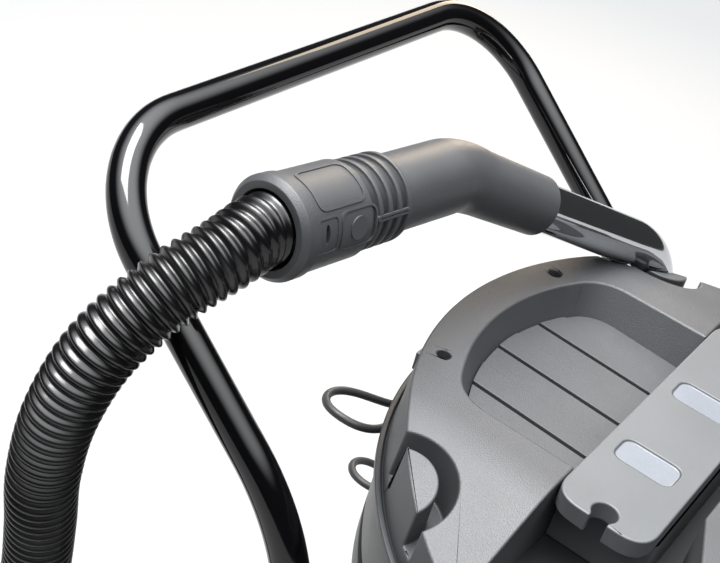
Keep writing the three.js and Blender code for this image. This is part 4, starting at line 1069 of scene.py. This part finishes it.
@dataclass
class Base:
    """The head's lower half with its lip, and the ring that crowns the tank."""

    def build(self) -> None:
        """Makes both rings and leaves the gasket between them as it is."""
        lip = DECK_Z + 2
        outline = [
            (0.0, DECK_Z - 4), (BASE_R - 8, DECK_Z - 4), (BASE_R - 8, BASE_BOTTOM),
            (BASE_R - 2, BASE_BOTTOM), (BASE_R, BASE_BOTTOM + 3), (BASE_R, DECK_Z - 12),
            (BASE_R - 3, DECK_Z - 8), (LIP_R, lip - 6), (LIP_R, lip), (BASE_R + 0.6, lip),
            (BASE_R, DECK_Z), (0.0, DECK_Z),
        ]
        base = make("head_base_moulding", revolve(outline, 288, edge=0.9))
        wall = math.sqrt(BASE_R**2 - 95.0**2)
        bore = revolve([(0, -30), (7.3, -30), (7.3, 20), (0, 20)], 48, (95.0, wall, 720.0), (0, 1, 0))
        vents = [prism(disc(16.0, 92.0 * side), DECK_Z - 10, DECK_Z + 5) for side in (-1, 1)]
        carve(base, Cut.AWAY, *wand_channel(), bore, *vents)
        settle(base, BLACK_NYLON, stands_for=("head_base",), smooth=32.0)
        top, low = BASE_BOTTOM - 3.7, BASE_BOTTOM - 35.7
        outline = [
            (240.3, low + 6), (262.0, low), (268.0, low + 6), (268.0, top - 5), (263.0, top),
            (234.0, top), (234.0, top - 1.7), (240.3, top - 1.7),
        ]
        ring = make("tank_ring_moulding", revolve(outline, 288, edge=0.7))
        carve(ring, Cut.AWAY, *wand_channel())
        settle(ring, BLACK_NYLON, stands_for=("tank_ring",), smooth=32.0)
        dress(RUBBER, "head_gasket")
        dress(DARK_PP, "motor_plate", "float_cage", "float_rest")
        dress(CASTING, "motor_left", "motor_right")
        dress(FOAM, "float")


@dataclass
class Tank:
    """The stainless tank, its hose inlet and its two latches."""

    radius: float = 240.0
    inlet_z: float = 590.0
    inlet_azimuth: float = 165.0

    def build(self) -> None:
        """Makes them."""
        low, top = 205.0, BASE_BOTTOM - 5.7
        r = self.radius
        outline = [
            (0.0, low), (r - 1.5, low), (r, low + 1.5), (r, top), (r - 2, top),
            (r - 2, low + 2), (0.0, low + 2),
        ]
        a = math.radians(self.inlet_azimuth)
        out = (math.cos(a), math.sin(a), 0.0)
        tank = make("tank_sheet", revolve(outline, 288))
        hole = [(0, r - 20), (22.9, r - 20), (22.9, r + 20), (0, r + 20)]
        carve(tank, Cut.AWAY, revolve(hole, 64, (0, 0, self.inlet_z), out))
        settle(tank, BRUSHED, stands_for=("tank",), smooth=30.0)
        from_node("hose_inlet", DARK_PP, 0.6)
        for name in ("left", "right"):
            from_node(f"latch_lever_{name}", DARK_PP, 0.9, f"latch_{name}")
            from_node(f"latch_bracket_{name}", ZINC, 0.5)
            from_node(f"latch_pin_{name}", ZINC, 0.4)


# ------------------------------------------------------------------ trolley
@dataclass
class Trolley:
    """The ring the tank stands in, the axle with its wheels and the two casters."""

    wheel_y: float = 210.0
    wheel_z: float = 114.45
    wheel_in: float = 256.0
    wheel_out: float = 292.0
    caster_x: float = 165.0
    caster_y: float = -145.0
    caster_z: float = 44.6

    def chassis(self) -> None:
        """Makes the ring, its beams, its posts and the bar across it."""
        top = 200.0
        ring = [
            (205.0, 180.0), (247.0, 180.0), (247.0, top + 25), (241.3, top + 25),
            (241.3, top), (205.0, top),
        ]
        shells = [revolve(ring, 240, edge=1.5), box((-212, -22, 180), (212, 22, 188))]
        for side in (-1, 1):
            x0, x1 = sorted((side * 200.0, side * 221.7))
            shells.append(box((x0, 96, 150), (x1, 232, top - 6)))
            outline = [(7.3, 112.0), (21.0, 112.0), (21.0, top - 1), (0, top - 1), (0, 157.0),
                       (7.3, 157.0)]
            shells.append(revolve(outline, 64, (side * 165.0, -175.0, 0.0), edge=1.0))
        chassis = make("trolley_moulding", *shells)
        soften(chassis, 1.2, 2, 50.0)
        settle(chassis, BLACK_NYLON, stands_for=("trolley_frame",), smooth=32.0)

    def wheel(self, name: str, side: int) -> None:
        """Makes one wheel: the tyre with its rounded tread, and the hub with five holes."""
        body = f"rear_wheel_{name}"
        radius, half = 114.4, (self.wheel_out - self.wheel_in) / 2
        middle = np.array([side * (self.wheel_in + half), self.wheel_y, self.wheel_z])
        tread = [(radius - 9 * (y / half) ** 4, y * 0.999) for y in np.linspace(-half, half, 17)]
        marks = [(radius - 1.6, 5.2), (radius - 1.6, 7.4)]
        tread = sorted(tread + [(radius - 0.3, 5.0), (radius - 0.3, 7.6)] + marks, key=lambda p: p[1])
        tyre = [*tread, (87.0, half), (86.3, half - 1), (86.3, 1 - half), (87.0, -half)]
        made = make(f"tyre_{name}", revolve(tyre, 192, middle, (1, 0, 0)))
        settle(made, TYRE, body, (f"rear_tyre_{name}",), 32.0)
        s = float(side)
        hub = [
            (10.3, -s * half), (24.0, -s * half), (25.0, -s * (half - 2)), (86.0, -s * (half - 2)),
            (86.0, s * (half - 2)), (78.0, s * (half - 2)), (76.0, s * (half - 14)),
            (27.0, s * (half - 14)), (24.0, s * (half - 2)), (10.3, s * (half - 2)),
        ]
        made = make(f"hub_{name}", revolve(hub, 160, middle, (1, 0, 0), edge=0.8))
        holes = []
        for a in np.arange(5) / 5 * 2 * math.pi:
            centre = middle + [0.0, 50 * math.cos(a), 50 * math.sin(a)]
            hole = [(0, -30.0), (15.0, -30.0), (15.0, 30.0), (0, 30.0)]
            holes.append(revolve(hole, 48, centre, (1, 0, 0)))
        carve(made, Cut.AWAY, *holes)
        settle(made, BLACK_NYLON, body, (f"rear_hub_{name}",), 32.0)

    def caster(self, name: str, side: int) -> None:
        """Makes one caster's wheel and takes over its fork and pin."""
        centre = np.array([side * self.caster_x, self.caster_y, self.caster_z])
        half, radius = 12.0, 44.6
        outline = [
            (5.3, -half - 1), (11.0, -half - 1), (11.0, -half + 5), (30.0, -half + 5),
            (31.0, -half), (40.0, -half), (radius - 0.6, -half + 4), (radius, 0.0),
            (radius - 0.6, half - 4), (40.0, half), (31.0, half), (30.0, half - 5),
            (11.0, half - 5), (11.0, half + 1), (5.3, half + 1),
        ]
        wheel = make(f"caster_tread_{name}", revolve(outline, 128, centre, (1, 0, 0), edge=0.6))
        settle(wheel, BLACK_NYLON, f"caster_roller_{name}", (f"caster_wheel_{name}",), 32.0)
        from_node(f"caster_fork_{name}", ZINC, 0.8, f"caster_swivel_{name}")
        from_node(f"caster_axle_{name}", ZINC, 0.4, f"caster_swivel_{name}")

    def build(self) -> None:
        """Makes the trolley."""
        self.chassis()
        from_node("rear_axle", ZINC, 0.6)
        for name, side in (("left", -1), ("right", 1)):
            self.wheel(name, side)
            self.caster(name, side)
            from_node(f"axle_bracket_{name}", BLACK_NYLON, 1.5)
            from_node(f"axle_cap_{name}", BLACK_NYLON, 1.2)


@dataclass
class PushHandle:
    """The bent tube that the trolley is pushed by."""

    radius: float = 12.5
    leg_x: float = 237.6
    bar: tuple[float, float] = (435.0, 929.0)
    bends: tuple[float, ...] = (157.0, 81.0, 81.0, 157.0)

    def build(self) -> None:
        """Makes the tube."""
        x, (y, z) = self.leg_x, self.bar
        leg = [(-x, 210.0, 140.0), (-x, 210.0, 751.7), (-x, y, z)]
        corners = np.array([*leg, *[(-p[0], p[1], p[2]) for p in leg[::-1]]])
        path = Path(rounded_route(corners, list(self.bends), 5.0))
        tube = make("push_handle_tube", path.carry(tube_outline(path.length, self.radius), 64))
        settle(tube, BLACK_ENAMEL, stands_for=("push_handle",), smooth=60.0)


# ------------------------------------------------------------------ wand, grip and cuffs
@dataclass
class Wand:
    """The chromed wand on its holder: the bent upper tube and the lower one."""

    radius: float = 19.0
    wall: float = 1.8

    def build(self) -> None:
        """Makes both tubes, the cup at the bottom and the clip on the tank."""
        path = Path(wand_line(1.0))
        bore = self.radius - self.wall
        outline = tube_outline(path.length, self.radius, bore, 3.0)
        upper = make("wand_upper_tube", path.carry(outline, 72))
        settle(upper, CHROME, stands_for=("wand_upper",), smooth=60.0)
        r = self.radius
        outline = [
            (bore, 200.3), (r, 200.3), (r, 438.0), (r + 2.3, 444.0), (r + 2.3, 500.0),
            (r + 0.5, 500.0), (r + 0.5, 448.0), (bore, 442.0),
        ]
        lower = make("wand_lower_tube", revolve(outline, 96, (WAND_X, WAND_Y, 0.0), edge=0.6))
        settle(lower, CHROME, stands_for=("wand_lower",), smooth=40.0)
        from_node("wand_cup", DARK_PP, 0.8)
        from_node("wand_clip", DARK_PP, 0.8)


@dataclass
class Grip:
    """The elbow on the wand's end and the ribbed cuff that swivels on it."""

    socket: float = 23.0
    grip: float = 26.5
    length: float = 140.0
    cuff: float = 31.5

    def elbow(self) -> None:
        """Makes the elbow, its corner rounded on a 70 mm bend."""
        start = wand_point(161.0)
        end = BEND + GRIP_AXIS * self.length
        path = Path(rounded_route(np.array([start, BEND, end]), [70.0], 2.0))
        corner = float(np.linalg.norm(BEND - start))
        far = path.length
        at = np.array([1.0, corner - 26, corner - 12, corner + 2, corner + 14, far - 1.0])
        out = np.array([self.socket, self.socket + 0.8, self.socket + 1.8, 25.6, self.grip, 25.8])
        steps = np.linspace(1.0, far - 1.0, 90)
        outside = np.column_stack([steps, np.interp(steps, at, out)])
        rims = [(far, 25.0), (far, 17.0), (51.0, 17.0), (51.0, 19.8), (0.0, 19.8),
                (0.0, self.socket - 0.9)]
        inside = [(d, 17.0) for d in np.linspace(far, 51.0, 60)[1:-1]]
        outline = np.vstack([outside, rims[:2], inside, rims[2:]])
        elbow = make("elbow_moulding", path.carry(outline, 72))
        settle(elbow, DARK_PP, stands_for=("elbow_grip",), smooth=40.0)

    def wrap(self, outline: Array, height: float) -> Array:
        """Points of (distance along the grip, degrees round it) at a height on the cuff.

        Args:
            outline: The points, distance from the bend in millimetres and angle from U to V.
            height: The distance from the grip's axis.

        Returns:
            The points in space.
        """
        u, v, w = basis(GRIP_AXIS)
        a = np.radians(outline[:, 1])[:, None]
        return BEND + outline[:, :1] * w + height * (np.cos(a) * u + np.sin(a) * v)

    def ridge(self, low: tuple[float, float], high: tuple[float, float], width: float,
              rise: float = 0.7, corner: float = 5.0) -> Shell:
        """A raised frame round a rectangle laid on the cuff.

        Args:
            low: The least distance and angle.
            high: The greatest.
            width: The frame's width.
            rise: How far it stands up.
            corner: The radius of its corners.

        Returns:
            The shell.
        """
        scale = math.degrees(1.0 / self.cuff)
        flat = rounded_rectangle(low[0], low[1] / scale, high[0], high[1] / scale, corner)
        flat = np.vstack([np.linspace(p, q, 3, endpoint=False)
                          for p, q in zip(flat, np.roll(flat, -1, axis=0))])
        middle = flat.mean(axis=0)
        reach = (np.array(high) - low) * [1.0, 1 / scale]
        inner = middle + (flat - middle) * (1 - 2 * width / reach)
        outer, inner = flat * [1.0, scale], inner * [1.0, scale]
        base, top = self.cuff - 1.0, self.cuff + rise
        loops = [self.wrap(outer, base), self.wrap(outer, top), self.wrap(inner, top),
                 self.wrap(inner, base)]
        return Shell(np.vstack(loops), [grid_quads(4, len(flat))])

    def button(self, distance: float, angle: float, size: tuple[float, float], low: float,
               high: float) -> Shell:
        """A round or oblong plug that stands square to the cuff.

        Args:
            distance: Its middle, from the bend.
            angle: Its middle's angle, in degrees.
            size: Its half length along the grip and its half width round it.
            low: Where it starts, from the grip's axis.
            high: Where it ends.

        Returns:
            The shell.
        """
        u, v, w = basis(GRIP_AXIS)
        a = math.radians(angle)
        out = math.cos(a) * u + math.sin(a) * v
        around = np.cross(w, out)
        flat = disc(1.0, segments=40) * size
        ring = BEND + distance * w + flat[:, :1] * w + flat[:, 1:] * around
        loops = np.vstack([ring + low * out, ring + high * out])
        count = len(flat)
        ends = np.stack([np.arange(count)[::-1], np.arange(count) + count])
        return Shell(loops, [grid_quads(2, count, ring=False), ends])

    def collar(self) -> None:
        """Makes the swivelling cuff: four ribs, the body, the collar, its raised marks and painted
        shade between the ribs.
        """
        outline = [(26.8, 87.0)]
        for at in 87.0 + 9.5 * np.arange(4):
            outline += [(29.8, at), (29.8, at + 3.2), (27.4, at + 3.5), (27.4, at + 9.2)]
        r = self.cuff
        outline += [
            (r - 1.2, 126.0), (r, 128.0), (r, 176.0), (32.8, 177.0), (32.8, 186.0), (29.3, 190.0),
            (24.5, 190.0), (24.5, 167.0), (18.5, 167.0), (18.5, 144.0), (26.8, 144.0),
        ]
        cuff = make("hose_cuff_moulding", revolve(outline, 144, BEND, GRIP_AXIS, edge=0.5))
        carve(cuff, Cut.AWAY, self.button(169.5, 197.0, (1.9, 6.2), r - 3.0, r + 4))
        settle(cuff, DARK_PP, "hose_end", ("hose_cuff",), 34.0)
        # A thin black cylinder that shows only in the valleys between the ribs: painted shade between
        # them.
        gaps = [(27.0, 88.0), (28.0, 88.0), (28.0, 123.5), (27.0, 123.5)]
        sleeve = make("cuff_rib_gap_painted_shade", revolve(gaps, 96, BEND, GRIP_AXIS))
        settle(sleeve, BLACK_NYLON, "hose_end", (), 34.0)
        rib = self.ridge((89.0, 191.0), (121.0, 198.5), 1.6, -2.6)
        marks = make(
            "cuff_marks", self.ridge((131.5, 222.0), (174.0, 279.0), 1.5),
            self.ridge((124.0, 170.0), (157.0, 217.5), 1.3),
            self.ridge((159.5, 174.0), (178.5, 216.0), 1.1, 0.6, 2.2), rib,
            self.button(141.0, 194.0, (7.5, 7.5), r - 2, r + 0.45),
        )
        settle(marks, DARK_PP, "hose_end", (), 34.0)

    def tank_cuff(self) -> None:
        """Makes the cuff that pushes on to the tank's inlet."""
        top, end = 545.0, 449.0
        outline = [
            (22.8, top), (27.0, top), (29.0, top - 4), (29.0, top - 44), (30.5, top - 46),
            (29.8, end + 6), (26.8, end), (24.5, end), (24.5, end + 23), (18.5, end + 23),
            (18.5, top - 42), (22.8, top - 42),
        ]
        cuff = make("tank_cuff_moulding", revolve(outline, 96, (-333.24, 89.29, 0.0), edge=0.7))
        settle(cuff, DARK_PP, stands_for=("tank_cuff",), smooth=34.0)

    def build(self) -> None:
        """Makes the elbow and both cuffs."""
        self.elbow()
        self.collar()
        self.tank_cuff()


# ------------------------------------------------------------------ hose and cord
@dataclass
class Hose:
    """The corrugated suction hose, from the swivelling cuff down to the tank's cuff."""

    outer: float = 22.5
    valley: float = 19.4
    pitch: float = 6.8
    sides: int = 40
    start: float = 169.0
    inlet: tuple[float, float] = (-333.24, 89.29)
    end_z: float = 470.0
    turns: list[tuple[float, float, float]] = field(
        default_factory=lambda: [
            (-236, 316, 920), (-272, 327, 901), (-302, 341, 866), (-317, 351, 820),
            (-318, 358, 768), (-309, 364, 714), (-301, 371, 655), (-301, 378, 590),
            (-308, 385, 520), (-319, 391, 440), (-329, 394, 355), (-335, 390, 270),
            (-338, 376, 190), (-340, 345, 115), (-341, 295, 63), (-341, 235, 44),
            (-341, 175, 58), (-340, 128, 105), (-337, 101, 175), (-334, 91, 255),
        ]
    )

    def route(self) -> Array:
        """The hose's centreline."""
        x, y = self.inlet
        first = [BEND + GRIP_AXIS * self.start, BEND + GRIP_AXIS * 196.0]
        last = [(x, y, 345.0), (x, y, 429.0), (x, y, self.end_z)]
        return smooth_route(np.array([*first, *self.turns, *last]), 3.0)

    def build(self) -> None:
        """Makes the hose.

        Its radius is valley + (outer - valley) (0.5 + 0.5 cos(2 pi distance / pitch)) ^ 0.75,
        which gives round crests and narrow valleys.
        """
        line = self.route()
        path = Path(line)
        count = int(path.length / self.pitch * 8)
        distance = np.linspace(0.0, path.length, count)
        wave = 0.5 + 0.5 * np.cos(2 * np.pi * distance / self.pitch)
        radius = self.valley + (self.outer - self.valley) * wave**0.75
        ends = np.array([[path.length, 0.0], [0.0, 0.0]])
        hose = make(
            "suction_hose",
            path.carry(np.vstack([np.column_stack([distance, radius]), ends]), self.sides),
        )
        settle(hose, HOSE_PVC, stands_for=("hose",), smooth=80.0)


@dataclass
class PowerCord:
    """The mains lead: looped behind the head, hung to the floor and coiled behind."""

    radius: float = 3.25
    coil_x: float = 60.0
    coil_y: float = 435.0
    inner: float = 26.0
    pitch: float = 6.5
    turns_in_layer: int = 4
    layers: int = 4
    base: float = 3.9
    hang: list[tuple[float, float, float]] = field(
        default_factory=lambda: [
            (95, 264.6, 720), (95, 278, 720), (93, 288.5, 720.3), (87, 297.4, 720.8),
            (78.3, 303, 721), (68, 305, 720.5), (57.7, 302.8, 719), (48.5, 297.2, 717.6),
            (39.5, 291, 716.6), (29, 286.5, 716.2), (15, 282.5, 716), (0, 279, 716.2),
            (-16, 275.2, 716.8), (-32, 271.8, 718), (-46, 269, 720), (-59, 266.6, 722.3),
            (-71, 266.4, 725), (-82, 270, 728), (-89.8, 277.6, 730.4), (-92.9, 290, 731.6),
            (-90.5, 302.8, 730.8), (-83, 311.3, 728.4), (-70, 316.3, 724.6), (-56, 315.2, 720.2),
            (-43, 309, 715), (-31, 300.5, 709), (-18, 292.5, 702), (-3, 287.5, 694.5),
            (12, 285.5, 686), (25, 285.5, 675), (33.5, 285.8, 660), (36, 285, 643),
            (30.5, 281.5, 627.5), (20, 275.6, 617.5), (7.5, 271.2, 613), (-4.5, 272, 612.5),
            (-13, 279.2, 613.8), (-16.4, 292, 614.5), (-13.2, 304.6, 613.5),
            (-4.2, 312.8, 610.8), (9, 316.2, 606), (23, 314.5, 598.5), (37, 309.5, 588),
            (51, 304.5, 574), (64, 301.2, 555), (75, 300, 530), (81.5, 300, 500), (84, 300, 460),
            (84, 300.3, 400), (84, 301, 290), (84, 303, 180), (84, 304.3, 100), (84, 306, 66),
            (85, 312.5, 36), (86, 326, 14), (88, 347, 5.5), (93, 375, 4), (99.5, 397, 3.9),
        ]
    )

    def coil(self) -> Array:
        """The coil's turns: in, up, out, up and so on, as far as the plug's side.

        At turn t of a layer the line is at centre + r (cos a, sin a) with a = 2 pi t, and
        r goes evenly from the outer radius to the inner one or back; over the first
        part of a turn of a layer the height rises smoothly by a pitch.
        """
        per = 48
        turns = self.layers * self.turns_in_layer - 65 / 360
        t = np.arange(0, turns, 1 / per)
        layer = np.minimum(t // self.turns_in_layer, self.layers - 1)
        within = t - layer * self.turns_in_layer
        share = within / self.turns_in_layer
        share = share - np.sin(2 * np.pi * share) / (2 * np.pi) * 0.35
        outer = self.inner + self.turns_in_layer * self.pitch
        radius = np.where(
            layer % 2 == 0,
            outer + (self.inner - outer) * share,
            self.inner + (outer - self.inner) * share,
        )
        ease = np.clip(within / 0.5, 0, 1)
        ease = ease**2 * (3 - 2 * ease)
        height = self.base + np.where(layer > 0, layer - 1 + ease, 0.0) * self.pitch
        a = 2 * np.pi * t - math.radians(25.0)
        x = self.coil_x + radius * np.cos(a)
        y = self.coil_y + radius * np.sin(a)
        return np.column_stack([x, y, height])

    def route(self) -> Array:
        """The whole lead, from inside the sleeve to the plug."""
        coil = self.coil()
        x, y = self.coil_x, self.coil_y - 51.0
        tail = [(x + 16, y + 0.2, 23.0), (x + 34, y, 18.4), (x + 50, y, 14.4), (x + 62, y, 14.0)]
        line = smooth_route(np.vstack([np.array(self.hang, float), coil[::3], tail]), 2.0)
        for _ in range(6):
            line[1:-1] = line[1:-1] / 2 + (line[:-2] + line[2:]) / 4
        return even_steps(line, 2.5)

    def build(self) -> None:
        """Makes the lead from the sleeve to the plug as one tube, and the sleeve."""
        line = self.route()
        path = Path(line)
        cord = make("mains_lead", path.carry(tube_outline(path.length, self.radius, step=3.2), 14))
        settle(cord, CORD_PVC, stands_for=("power_cord", "cord_coil"), smooth=60.0)
        plug = from_node("plug", RUBBER, 2.2)
        wall = math.sqrt(BASE_R**2 - 95.0**2)
        outline = [(3.6, wall - 10), (7.0, wall - 10), (7.0, wall + 4), (10.0, wall + 4),
                   (10.0, wall + 7)]
        for k in range(3):
            at, size = wall + 7 + k * 4.6, 7.0 - k * 0.8
            outline += [(size, at + 0.2), (size, at + 3.0), (size - 1.0, at + 3.2),
                        (size - 1.0, at + 4.3)]
        outline += [(4.3, wall + 22), (3.6, wall + 22)]
        sleeve = make("cord_sleeve", revolve(outline, 48, (95.0, 0.0, 720.0), (0, 1, 0)))
        settle(sleeve, RUBBER, stands_for=("cord_gland",), smooth=30.0)
        from_node("cord_hook", DARK_PP, 0.8)


def main() -> None:
    """Builds every part of the machine in order."""
    logging.basicConfig(level=logging.INFO, format="%(name)s: %(message)s")
    Studio().build()
    RearCover().build()
    BridgeHandle().build()
    FrontCover().build()
    Base().build()
    Tank().build()
    Trolley().build()
    PushHandle().build()
    Wand().build()
    Grip().build()
    Hose().build()
    PowerCord().build()


if __name__ == "__main__":
    main()
